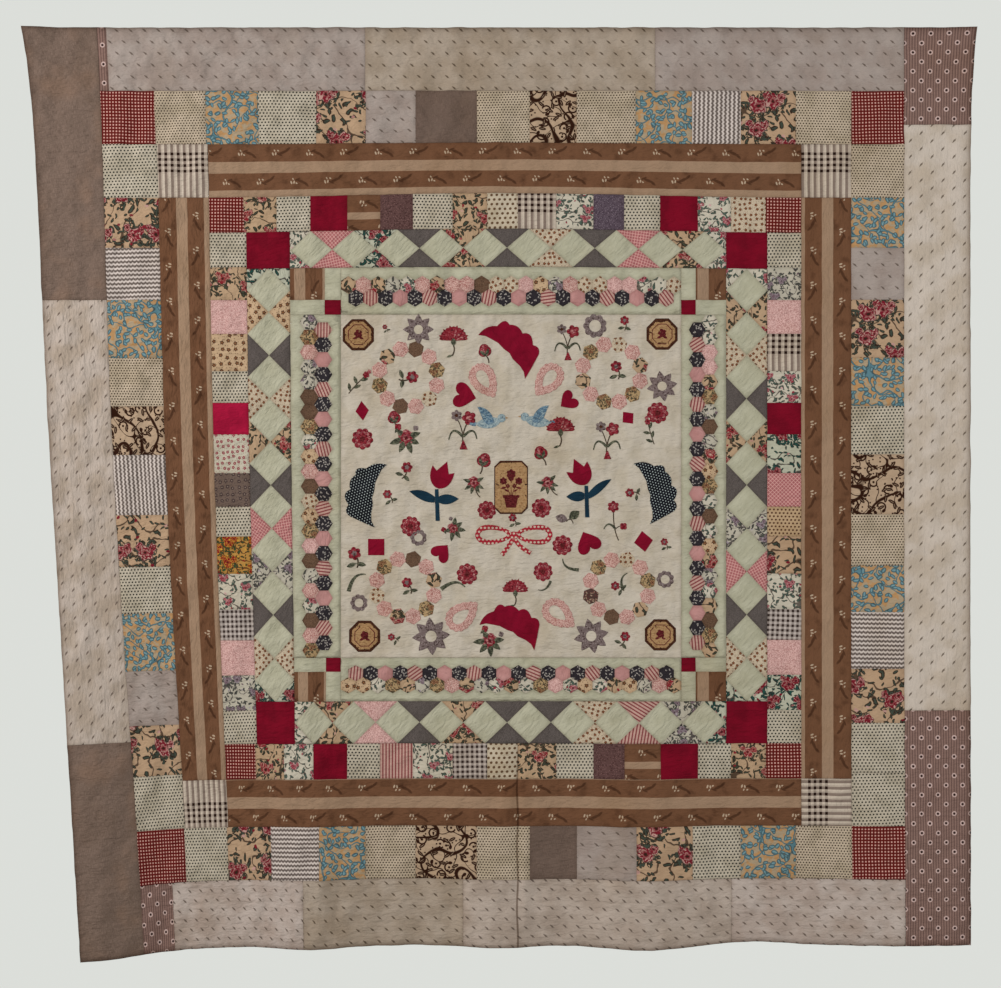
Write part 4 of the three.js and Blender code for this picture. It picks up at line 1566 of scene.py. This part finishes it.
# Each flower's parts: bloom (radius, petals, depth), leaf (length, width) or stem (points, width), then
# cloth, layer, across, up and turn.
FLOWER_PARTS = {
    "fan": [
        *fan_petals(),
        ("leaf", 20, 13, GREEN, 4, 0, -13, 90),
        ("stem", [(0, -12), (2, -24), (-3, -38)], 3.4),
        ("leaf", 17, 6, GREEN, 1, -2, -36, 200),
    ],
    "round": [
        ("bloom", 31, 9, 0.16, "carnation"),
        ("bloom", 24.18, 9, 0.2, "rose_pink", 1, 0, 0, 18),
        ("bloom", 17.98, 8, 0.22, "carnation", 2, 0, 0, 5),
        ("bloom", 9.3, 6, 0.25, "dark_red_print", 3),
    ],
    "bud": [
        ("bloom", 17, 3, 0.18, "carnation", 0, 0, 0, 30),
        ("leaf", 27, 13, "rose_pink", 1, -6, -11, 75),
        ("leaf", 25, 10, "carnation", 2, 7, -10, 105),
        ("leaf", 20, 8, GREEN, 3, 0, -14, 60),
        ("leaf", 20, 8, GREEN, 3, 0, -14, 125),
        ("stem", [(0, -13), (3, -22), (2, -32)], 3.0),
    ],
    "cluster": [
        *(
            ("leaf", length, 15, GREEN, 0, 0, 0, turn)
            for turn, length in ((200, 44), (245, 40), (290, 42), (335, 36), (20, 38), (140, 30))
        ),
        *open_rose(21),
        ("bloom", 9, 4, 0.2, "carnation", 1, -20, 27),
        ("bloom", 7, 4, 0.2, "grey_print", 1, 24, 24),
        ("leaf", 18, 7, GREEN, 1, -28, 12, 60),
    ],
    "pink_rose": [
        *(("leaf", 25, 8, GREEN, 0, 0, 0, turn) for turn in (215, 255, 300, 330, 30, 160)),
        *open_rose(15),
        ("stem", [(4, -14), (8, -24), (14, -31)], 2.2),
    ],
    "two": [
        ("stem", [(0, -42), (2, -8), (14, 22)], 3.0),
        ("stem", [(1, -12), (-6, 12), (-14, 28)], 2.4),
        ("stem", [(0, -16), (-22, -2), (-34, -24)], 7.0, GREEN, 1, 0.6),
        ("stem", [(2, -16), (24, -2), (35, -22)], 7.0, GREEN, 1, 0.6),
        ("bloom", 18, 5, 0.3, "carnation", 1, 16, 30),
        ("bloom", 9, 5, 0.3, "rose_pink", 2, 16, 30),
        ("bloom", 14, 6, 0.3, "grey_print", 1, -15, 36),
        ("bloom", 6, 5, 0.3, "dark_brown", 2, -15, 36),
        ("shape", [(-8, -48), (12, -48), (3, -26), (0, -26)], "carnation", 2),
    ],
    "tall": [
        ("stem", [(12, -60), (0, -20), (-2, 30)], 3.0),
        ("bloom", 17, 6, 0.28, "carnation", 1, -3, 36),
        ("bloom", 9, 5, 0.3, "rose_pink", 2, -3, 36),
        ("stem", [(2, -26), (-16, -14), (-30, -28)], 7.0, GREEN, 1, 0.6),
        ("bloom", 11, 4, 0.25, "carnation", 1, 26, -20),
        ("stem", [(3, -28), (14, -20), (22, -20)], 2.4),
    ],
    "twig": [
        ("stem", [(-20, -26), (0, -4), (24, 20)], 2.6),
        *(
            ("leaf", 22, 9, GREEN, 1, x, y, turn)
            for x, y, turn in ((-16, -20, 100), (-8, -12, 20), (2, -2, 110), (10, 8, 10))
        ),
        ("bloom", 9, 5, 0.25, "carnation", 2, 26, 22),
        ("bloom", 6, 5, 0.25, "rose_pink", 2, 34, 30),
    ],
    "posy": [
        ("stem", [(0, -18), (4, -8), (2, 4)], 2.6),
        ("leaf", 18, 8, GREEN, 0, 0, -10, 190),
        ("leaf", 18, 8, GREEN, 0, 0, -10, -20),
        ("bloom", 12, 6, 0.25, "carnation", 1, 0, 8),
        ("bloom", 6, 5, 0.3, "grey_print", 2, 0, 8),
    ],
    "curved_leaf": [("stem", [(-22, -22), (-6, 14), (22, 22)], 11.0, GREEN, 0, 0.75)],
    "grey_leaves": [
        ("leaf", 36, 24, "grey_print", 0, -4, -2, 165),
        ("leaf", 36, 25, GREEN, 1, 0, 2, 35),
        ("stem", [(-8, -6), (4, 0), (12, -12)], 2.6, "stem_brown", 2),
    ],
}


def flower(cut, kind):
    for part, *values in FLOWER_PARTS[kind]:
        getattr(cut, part)(*values)


def star(cut, radius):
    """An eight-pointed star round a hole."""
    steps = 8
    share = np.abs(np.arange(8 * steps) % steps / steps - 0.5) * 2
    outer = polar(radius * (0.64 + 0.36 * share**1.2), angles(8 * steps))
    cut.band(outer, polygon(radius * 0.3, 8 * steps), "grey_print", closed=True)


def scallop_ring(cut, radius):
    outer = blossom(radius, 9, 0.14)
    cut.band(outer, polygon(radius * 0.5, len(outer)), "grey_print", closed=True)


def medallion(cut, radius):
    octagon = finer(polygon(radius, 8, 22.5), 6)
    cut.shape(polygon(radius, 8, 22.5), "dark_brown")
    cut.shape(polygon(radius * 0.84, 8, 22.5), "tan_print", 1)
    cut.band(octagon * 0.66, octagon * 0.6, "dark_red_print", 2, closed=True, lift=0.3)
    for x, y in polygon(radius * 0.78, 8):
        cut.shape(moved(polygon(2.6, 8), x, y), "dark_brown", 3, lift=0.2)
    cut.bloom(radius * 0.26, 5, 0.25, "dark_red_print", 3, 0, 3)
    cut.leaf(14, 7, "dark_red_print", 4, -1, -10, 90)
    for turn in (-25, 205):
        cut.leaf(17, 7, "dark_red_print", 3, 0, -5, turn)


def red_diamond(cut, high, wide):
    cut.shape([(0, high), (-wide, 0), (0, -high), (wide, 0)], "crimson")


def leaf_ring(cut, length, width):
    """A ring with the outline of a leaf, pointed at one end, and with a finely scalloped rim."""
    share = angles(64)
    half = width / 2 * np.sin(share) * np.abs(np.sin(share / 2)) ** 0.7 * 1.25
    rim = 1 + 0.03 * np.cos(share * 17)
    outer = np.stack([length / 2 * np.cos(share) * rim, half * rim], axis=1)
    inner = np.stack([length * 0.26 * np.cos(share) - length * 0.06, half * 0.42], axis=1)
    cut.band(outer, inner, "pink_ring", closed=True)


def wreath(cut, radius):
    """Twelve hexagons in a ring."""
    others = ["wreath_tan", "wreath_dark", "tan_floral", "brown_plain", "chintz_small", "wreath_tan"]
    for k in range(12):
        turn = 30 * k + 15
        (x, y), = polygon(radius, 1, turn)
        cloth = "pink_ring" if k % 2 else others[(k // 2 + int(cut.draw.integers(6))) % 6]
        cut.shape(moved(polygon(24, 6), x, y, turn + cut.draw.uniform(-8, 8)), cloth, k % 2)


def bow(cut):
    """Two looped bands with a knot and two tails, about the knot."""
    c, s = np.cos(angles(48)), np.sin(angles(48))
    for side in (-1, 1):
        outer, inner = (
            np.stack([side * (x - wide * c), 8 + high * s * (1 - lean * c)], axis=1)
            for x, wide, high, lean in ((56, 54, 27, 0.35), (58, 39, 14, 0.2))
        )
        cut.band(outer, inner, "red_rings", closed=True)
    cut.stem([(2, 4), (-14, -22), (-34, -50)], 12, "red_rings", 1)
    cut.stem([(-2, 4), (18, -24), (48, -44)], 12, "red_rings", 1)
    cut.bloom(12, 4, 0.1, "red_rings", 2, 0, 6)


def flower_pot(cut):
    """A tall eight-sided frame with a pot of flowers."""
    rim = np.array([(-48, 59), (-48, -59), (-31, -76), (31, -76), (48, -59), (48, 59), (31, 76), (-31, 76)])
    cut.shape(rim, "dark_brown")
    cut.shape(rim * 0.94, "tan_print", 1)
    cut.shape([(-20, -28), (-14, -58), (14, -58), (20, -28)], "dark_red_print", 3)
    cut.shape([(-24, -22), (-23, -30), (23, -30), (24, -22)], "dark_red_print", 4)
    for foot, tip in (((0, -24), (0, 30)), ((-3, -24), (-20, 16)), ((3, -24), (20, 16))):
        bend = ((foot[0] + tip[0]) / 2 * 0.8, (foot[1] + tip[1]) / 2)
        cut.stem([foot, bend, tip], 2.8, "dark_red_print", 2)
    for x, y, radius in ((0, 38, 14), (-22, 18, 11), (22, 18, 11), (-9, 4, 7), (9, 4, 7)):
        cut.bloom(radius, 6, 0.25, "dark_red_print", 3, x, y)
        cut.bloom(radius * 0.4, 5, 0.25, "tan_print", 4, x, y, lift=0.2)
    for x, y, turn in ((-4, -14, 150), (4, -14, 30), (-12, 0, 190), (12, 0, -10), (0, 16, 60), (0, 16, 120)):
        cut.leaf(19, 7, "dark_red_print", 2, x, y, turn)


def bird(cut, side):
    """A small perched bird that looks to one side, with a raised wing."""
    body = bezier((-40, 0), ((-20, 22), (14, 26), (34, 14)), ((30, -10), (-10, -22), (-40, 0)))
    wing = bezier(
        (14, 6), ((10, 36), (-14, 52), (-34, 50)), ((-22, 30), (-22, 12), (-8, 2)), ((0, -2), (8, 0), (14, 6))
    )
    tail = bezier((-34, 4), ((-52, 12), (-66, 8)), ((-60, -4), (-34, -6)))
    beak = np.array([(44, 22), (55, 19), (44, 15)], float)
    head = moved(blossom(12, 1, 0.0, 16), 35, 18)
    flip = np.array([side, 1.0])
    for outline, cloth, layer in (
        (tail, "blue_print", 0),
        (body, "pale_blue", 1),
        (head, "pale_blue", 2),
        (beak, "tan_print", 1),
        (wing, "blue_print", 3),
    ):
        cut.shape(outline * flip, cloth, layer)
    for k in range(4):
        feather = moved(leaf(30 - 3 * k, 6), -1 - 2 * k, 8 + 5 * k, 128 + 9 * k)
        cut.shape(feather * flip, "pale_blue", 4, lift=0.2)
    cut.shape(moved(polygon(1.8, 8), 38, 21) * flip, "dark_brown", 4, lift=0.2)


# Where the flowers of each kind are: across and down from the middle of the ground, turn and size.
FLOWERS = {
    "fan": ((-164, -414, 0, 1.12), (141, -156, 0, 1.12), (12, 302)),
    "round": (
        (-423, -135, 10), (-286, 114, 40, 0.95), (-69, 68, 0, 0.88), (86, 62, 20, 0.92),
        (-125, 250, 30), (91, 243, 50, 0.9), (417, -209, 15), (146, 168, 25, 0.95),
    ),
    "bud": ((-75, -386, 15, 1.15), (-77, -74, -20, 1.25), (84, -95, 20, 1.2), (-333, -196, 5, 1.15)),
    "cluster": ((-299, -138, 0, 1.15), (-164, 120, 60, 0.85), (-61, 440, -15, 1.1)),
    "grey_leaves": ((165, 94),),
    "pink_rose": ((-106, -9, 0, 1.3), (104, -9, 15, 1.3)),
    "two": ((-138, -160, 0, 1.15), (160, -409, 0, 1.05), (272, -130, 0, 1.1)),
    "tall": ((294, 94),),
    "posy": (
        (-301, -44, -25, 1.35), (7, 97, 20), (-348, 30, 30, 1.1), (346, 20, 80, 1.1), (301, -330, 10, 1.4),
        (-293, -309, -80, 1.5), (304, 288, 60, 1.1), (-293, 284, 20, 1.3), (323, -463, 0, 1.1),
        (-335, 433, 60, 0.9), (320, 436, -30, 1.2), (439, 165, 20, 0.9), (-444, 204, 10, 1.6),
        (-357, -449, 30, 0.6),
    ),
    "twig": ((-441, -293, 0, 1.1), (395, -150, 60)),
    "curved_leaf": (
        (-438, 275, 0, 1.1), (170, 222, 100, 0.9), (-165, 290, -40, 1.1), (325, 272, 30, 0.8),
        (95, 282, 170, 0.7),
    ),
}
# Name and slot of each piece, then its motifs: each with its sizes and the places where it is.
EMBLEMS = {
    ("star_cutouts", "small_square_prints"): (
        (star, (44,), ((-264, -446), (430, -285, 10))),
        (star, (54,), ((-228, 427, 5),)),
        (star, (50,), ((228, 426, 12),)),
        (scallop_ring, (34,), ((239, -456),)),
        (scallop_ring, (25,), ((-433, 332), (439, 265))),
        (scallop_ring, (24,), ((-264, 146),)),
    ),
    ("medallion_cutouts", "brown_print"): (
        (medallion, (48,), ((-435, -431), (430, -433), (-417, 427), (425, 423))),
    ),
    ("red_diamond_cutouts", "crimson_cotton"): (
        (red_diamond, (28, 19), ((-424, -215, 5),)),
        (red_diamond, (22, 20), ((333, -195, 40),)),
        (red_diamond, (33, 33), ((-384, 173, 45),)),
        (red_diamond, (30, 27), ((377, 157, 8),)),
    ),
    ("leaf_ring_cutouts", "hexagon_prints"): (
        (leaf_ring, (108, 72), ((-75, -299, -58), (104, -301, 232), (-137, 366, 40), (138, 366, -38))),
    ),
    ("wreath_cutouts", "hexagon_prints"): (
        (wreath, (84,), ((-293, -309), (286, -322), (-301, 289), (308, 291))),
    ),
    ("bow_cutout", "crimson_cotton"): ((bow, (), ((8, 146),)),),
    ("flower_pot_cutout", "brown_print"): ((flower_pot, (), ((0, 3),)),),
    ("bird_cutouts", "navy_dot_print"): ((bird, (1,), ((-62, -176),)), (bird, (-1,), ((74, -180),))),
}


def build_small_cutouts(sizes):
    """The flowers, and the stars, medallions, wreaths and other emblems, as a piece for each group."""
    flowers = [(flower, (kind,), places) for kind, places in FLOWERS.items()]
    made = []
    for (name, slot), motifs in {("flower_cutouts", "ground_cotton"): flowers, **EMBLEMS}.items():
        cut = Cutouts(name, slot, sizes)
        for motif, measures, places in motifs:
            for place in places:
                start = len(cut.points)
                motif(cut, *measures)
                cut.place(start, *place)
        made.append(cut.build())
    return made


# The backing and the stitches

BACKING_CELL = 15.0
BACKING_INSET = 2.0
FIELD_CELL = 4.6
STITCH_INSET = 14
STITCH_STEP = 6.0


def build_backing(sizes):
    """The plain cloth at the back of the quilt."""
    left, right, top, bottom = HEM
    area = Area(left + BACKING_INSET, right - BACKING_INSET, top + BACKING_INSET, bottom - BACKING_INSET)
    wide, high = area.right - area.left, area.bottom - area.top
    plan, faces = four_sided(corners_of(area), round(wide / BACKING_CELL), round(high / BACKING_CELL))
    out = 0.25 + 0.12 * np.sin(plan[:, 0] / 14.0) * np.sin(plan[:, 1] / 16.0)
    faces = faces[:, ::-1]
    piece = make_mesh("backing_cloth", hang(plan, out), faces.tolist())
    places = (plan * (1, -1))[faces.ravel()] * MM
    finish_piece(piece, places, [0] * len(faces), ["backing"])
    wide * MM
    high * MM


ALIGNED = "FunctionNodeAlignRotationToVector"
STITCH_NODES = {
    "given": ["NodeGroupInput"],
    "line": ["GeometryNodeMeshToCurve"],
    "spaced": ["GeometryNodeResampleCurve", {"mode": "LENGTH"}],
    "tangent": ["GeometryNodeInputTangent"],
    "along": [ALIGNED, {"axis": "X"}],
    "outward": [ALIGNED, {"axis": "Z", "pivot_axis": "X"}, {"Vector": (0, -1, 0)}],
    "bead": ["GeometryNodeMeshUVSphere", {}, {"Segments": 5, "Rings": 3, "Radius": 0.5}],
    "sized": ["ShaderNodeCombineXYZ"],
    "shaped": ["GeometryNodeTransform"],
    "repeated": ["GeometryNodeInstanceOnPoints"],
    "real": ["GeometryNodeRealizeInstances"],
    "painted": ["GeometryNodeSetMaterial"],
    "result": ["NodeGroupOutput"],
}
# Each link: node, output, node, input.
STITCH_LINKS = """
    given Geometry line Mesh
    line Curve spaced Curve
    given Spacing spaced Length
    tangent Tangent along Vector
    along Rotation outward Rotation
    given Length sized X
    given Width sized Y
    given Width sized Z
    bead Mesh shaped Geometry
    sized Vector shaped Scale
    spaced Curve repeated Points
    shaped Geometry repeated Instance
    outward Rotation repeated Rotation
    repeated Instances real Geometry
    real Geometry painted Geometry
    given Thread painted Material
    painted Geometry result Geometry
"""


def stitch_tree():
    """A node tree that lays stitches along lines: spacing, length and width are its inputs."""
    tree = bpy.data.node_groups.new("Stitches", "GeometryNodeTree")
    tree.interface.new_socket("Geometry", in_out="INPUT", socket_type="NodeSocketGeometry")
    for name in ("Spacing", "Length", "Width"):
        tree.interface.new_socket(name, in_out="INPUT", socket_type="NodeSocketFloat")
    tree.interface.new_socket("Thread", in_out="INPUT", socket_type="NodeSocketMaterial")
    tree.interface.new_socket("Geometry", in_out="OUTPUT", socket_type="NodeSocketGeometry")
    nodes = {name: add_node(tree, *made) for name, made in STITCH_NODES.items()}
    for source, output, target, slot in map(str.split, STITCH_LINKS.strip().splitlines()):
        tree.links.new(nodes[source].outputs[output], nodes[target].inputs[slot])
    return tree


def quilting_lines():
    """Lines on the plan that the quilting stitches follow."""
    across = np.arange(FIELD.left + STITCH_INSET, FIELD.right - STITCH_INSET, STITCH_STEP)
    first = math.ceil(FIELD.top / FIELD_ROW)
    for k in range(first, first + int(FIELD_HEIGHT / FIELD_ROW)):
        down = np.full_like(across, k * FIELD_ROW)
        for _ in range(3):
            down = k * FIELD_ROW - row_wander(across, down)
        yield np.stack([across, down], axis=1)


def build_stitches(sizes):
    points, edges, count = [], [], 0
    for line in quilting_lines():
        seam = edge_distance(line, corners_of(FIELD))
        points.append(hang(line, front(line, seam, sizes) + 0.05))
        edges += [(count + k, count + k + 1) for k in range(len(line) - 1)]
        count += len(line)
    guide = make_mesh("quilting_lines", np.concatenate(points), [], edges)
    tree = stitch_tree()
    modifier = guide.modifiers.new("Stitches", "NODES")
    modifier.node_group = tree
    values = {
        "Spacing": sizes.stitch_spacing,
        "Length": sizes.stitch_length,
        "Width": sizes.stitch_width,
        "Thread": cloth_material("thread"),
    }
    for item in tree.interface.items_tree:
        if item.in_out == "INPUT" and item.name in values:
            modifier[item.identifier] = values[item.name]
    graph = bpy.context.evaluated_depsgraph_get()
    made = bpy.data.meshes.new_from_object(guide.evaluated_get(graph))
    piece = add_object("quilting_stitches", made)
    bpy.data.objects.remove(guide)
    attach(piece, BODY)
    return piece


def build_centre(sizes):
    panel = Panel("centre_ground", "ground_cotton", FIELD, sizes)
    panel.add_rectangle(FIELD, "ground", cloth_lie(FIELD_MIDDLE), FIELD_CELL)
    ground = panel.build()
    build_applique(sizes)
    panel.declare(ground, [*build_small_cutouts(sizes), build_stitches(sizes)])


# The stage

CAMERA_PLACE = {"across": 0.00285, "height": -1.328}
LIT_POINT = (0.0, 0.0, -1.3)
# Place, width, and colour of each lamp.
LAMPS = {
    "key": ((-4.4, -1.9, 0.5), 0.9, (1.0, 0.985, 0.96)),
    "fill": ((2.7, -3.6, -0.8), 2.0, (0.97, 0.985, 1.0)),
}
FLOOR_CORNERS = ((-2.6, -3.0, -2.95), (2.6, -3.0, -2.95), (2.6, 0.65, -2.95), (-2.6, 0.65, -2.95))
FLOOR_LOOK = {"Base Color": "#cfcdc9", "Roughness": 0.8}


def add_lamp(name, power):
    place, width, colour = LAMPS[name]
    data = bpy.data.lights.new(name, "AREA")
    data.size = width
    data.energy = power
    data.color = colour
    lamp = add_object(name, data)
    lamp.location = place
    direction = np.subtract(LIT_POINT, place)
    x, y, z = direction / np.linalg.norm(direction)
    lamp.rotation_euler = (math.acos(-z), 0.0, math.atan2(y, x) - math.pi / 2)


def build_stage(settings):
    scene = bpy.context.scene
    scene.view_settings.view_transform = "Standard"
    data = bpy.data.cameras.new("camera")
    data.sensor_width = 36.0
    data.lens = settings.lens
    camera = add_object("camera", data)
    camera.location = (CAMERA_PLACE["across"], -settings.distance, CAMERA_PLACE["height"])
    camera.rotation_euler = (math.pi / 2, 0.0, 0.0)
    scene.camera = camera
    scene.world = bpy.data.worlds.new("studio")
    scene.world.use_nodes = True
    background = scene.world.node_tree.nodes["Background"]
    background.inputs["Color"].default_value = (*settings.backdrop, 1.0)
    background.inputs["Strength"].default_value = settings.world_strength
    add_lamp("key", settings.key_power)
    add_lamp("fill", settings.fill_power)
    floor = make_mesh("floor", np.array(FLOOR_CORNERS), [(0, 1, 2, 3)])
    material = bpy.data.materials.new("floor")
    material.use_nodes = True
    shader = material.node_tree.nodes["Principled BSDF"]
    shader.inputs["Base Color"].default_value = linear(FLOOR_LOOK["Base Color"])
    shader.inputs["Roughness"].default_value = FLOOR_LOOK["Roughness"]
    floor.data.materials.append(material)


# Properties, operators and panel


def length(name, description, default):
    return bpy.props.FloatProperty(name=name, description=description, default=default, unit="LENGTH")


def number(name, description, default):
    return bpy.props.FloatProperty(name=name, description=description, default=default)


class QuiltSizes(bpy.types.PropertyGroup):
    """Sizes of the quilt's cloths and quilting."""

    thickness: length("Thickness", "Top, filling and backing at a seam", 0.003)
    patch_rise: length("Patch rise", "How far a patch stands above its seams", 0.0006)
    seam_depth: length("Seam depth", "How far a seam sinks", 0.0005)
    channels: bpy.props.IntProperty(
        name="Channels", description="Rows of quilting in the lower border", default=9, min=1
    )
    channel_rise: length("Channel rise", "Height of the lower border's channels", 0.0019)
    field_rise: length("Ground rise", "Height of the ground's quilted rows", 0.0012)
    cell: length("Cell", "Length of a mesh cell of the borders", 0.0065)
    stitch_spacing: length("Stitch spacing", "From one stitch to the next", 0.0085)
    stitch_length: length("Stitch length", "Length of a stitch", 0.0045)
    stitch_width: length("Stitch width", "Width of a stitch", 0.0008)


class QuiltStage(bpy.types.PropertyGroup):
    """Camera and light."""

    distance: length("Camera distance", "From the quilt to the camera", 5.3)
    lens: number("Lens", "Focal length in millimetres", 66.9)
    key_power: number("Key light", "Power of the main lamp", 140.0)
    fill_power: number("Fill light", "Power of the second lamp", 44.0)
    world_strength: number("Ambient", "Strength of the world's light", 0.85)
    backdrop: bpy.props.FloatVectorProperty(
        name="Backdrop", description="Colour of the world", subtype="COLOR", default=(0.84, 0.86, 0.82)
    )


class QuiltOperator:
    """What the operators of the quilt share."""

    bl_options = {"REGISTER", "UNDO"}


class QUILT_OT_outer_border(QuiltOperator, bpy.types.Operator):
    """Build the fifteen lengths of the outer border"""

    bl_idname = "quilt.outer_border"
    bl_label = "Outer Border"

    def execute(self, context):
        build_outer_border(context.scene.quilt_sizes)
        return {"FINISHED"}


class QUILT_OT_big_squares(QuiltOperator, bpy.types.Operator):
    """Build the border of big square patches"""

    bl_idname = "quilt.big_squares"
    bl_label = "Big Squares"

    def execute(self, context):
        sizes = context.scene.quilt_sizes
        build_square_border("big_squares", BIG_SQUARES, STRIPE, (15, 13), BIG_PATCHES, sizes)
        return {"FINISHED"}


class QUILT_OT_stripe_border(QuiltOperator, bpy.types.Operator):
    """Build the striped border and its plaid corners"""

    bl_idname = "quilt.stripe_border"
    bl_label = "Striped Border"

    def execute(self, context):
        build_stripe_border(context.scene.quilt_sizes)
        return {"FINISHED"}


class QUILT_OT_small_squares(QuiltOperator, bpy.types.Operator):
    """Build the border of small square patches"""

    bl_idname = "quilt.small_squares"
    bl_label = "Small Squares"

    def execute(self, context):
        sizes = context.scene.quilt_sizes
        build_square_border("small_squares", SMALL_SQUARES, DIAMONDS, (17, 15), SMALL_PATCHES, sizes)
        return {"FINISHED"}


class QUILT_OT_diamonds(QuiltOperator, bpy.types.Operator):
    """Build the border of diamonds and its red corners"""

    bl_idname = "quilt.diamonds"
    bl_label = "Diamonds"

    def execute(self, context):
        build_diamond_border(context.scene.quilt_sizes)
        return {"FINISHED"}


class QUILT_OT_hexagons(QuiltOperator, bpy.types.Operator):
    """Build the border of hexagons and its brown corners"""

    bl_idname = "quilt.hexagons"
    bl_label = "Hexagons"

    def execute(self, context):
        build_hexagon_border(context.scene.quilt_sizes)
        return {"FINISHED"}


class QUILT_OT_centre(QuiltOperator, bpy.types.Operator):
    """Build the centre ground with everything that is sewn on it"""

    bl_idname = "quilt.centre"
    bl_label = "Centre"

    def execute(self, context):
        build_centre(context.scene.quilt_sizes)
        return {"FINISHED"}


class QUILT_OT_backing(QuiltOperator, bpy.types.Operator):
    """Build the plain backing"""

    bl_idname = "quilt.backing"
    bl_label = "Backing"

    def execute(self, context):
        build_backing(context.scene.quilt_sizes)
        return {"FINISHED"}


class QUILT_OT_stage(QuiltOperator, bpy.types.Operator):
    """Build the floor, the lamps and the camera"""

    bl_idname = "quilt.stage"
    bl_label = "Stage"

    def execute(self, context):
        build_stage(context.scene.quilt_stage)
        return {"FINISHED"}


OPERATORS = (
    QUILT_OT_stage,
    QUILT_OT_outer_border,
    QUILT_OT_big_squares,
    QUILT_OT_stripe_border,
    QUILT_OT_small_squares,
    QUILT_OT_diamonds,
    QUILT_OT_hexagons,
    QUILT_OT_centre,
    QUILT_OT_backing,
)


class QUILT_PT_panel(bpy.types.Panel):
    """The quilt's operators and sizes"""

    bl_label = "Quilt"
    bl_idname = "QUILT_PT_panel"
    bl_space_type = "VIEW_3D"
    bl_region_type = "UI"
    bl_category = "Quilt"

    def draw(self, context):
        for operator in OPERATORS:
            self.layout.operator(operator.bl_idname)
        for group in (context.scene.quilt_sizes, context.scene.quilt_stage):
            for name in group.__annotations__:
                self.layout.prop(group, name)


CLASSES = (QuiltSizes, QuiltStage, *OPERATORS, QUILT_PT_panel)


def register():
    for each in CLASSES:
        bpy.utils.register_class(each)
    bpy.types.Scene.quilt_sizes = bpy.props.PointerProperty(type=QuiltSizes)
    bpy.types.Scene.quilt_stage = bpy.props.PointerProperty(type=QuiltStage)


def unregister():
    del bpy.types.Scene.quilt_stage
    del bpy.types.Scene.quilt_sizes
    for each in reversed(CLASSES):
        bpy.utils.unregister_class(each)


def main():
    register()
    for operator in OPERATORS:
        group, name = operator.bl_idname.split(".")
        getattr(getattr(bpy.ops, group), name)()


if __name__ == "__main__":
    main()
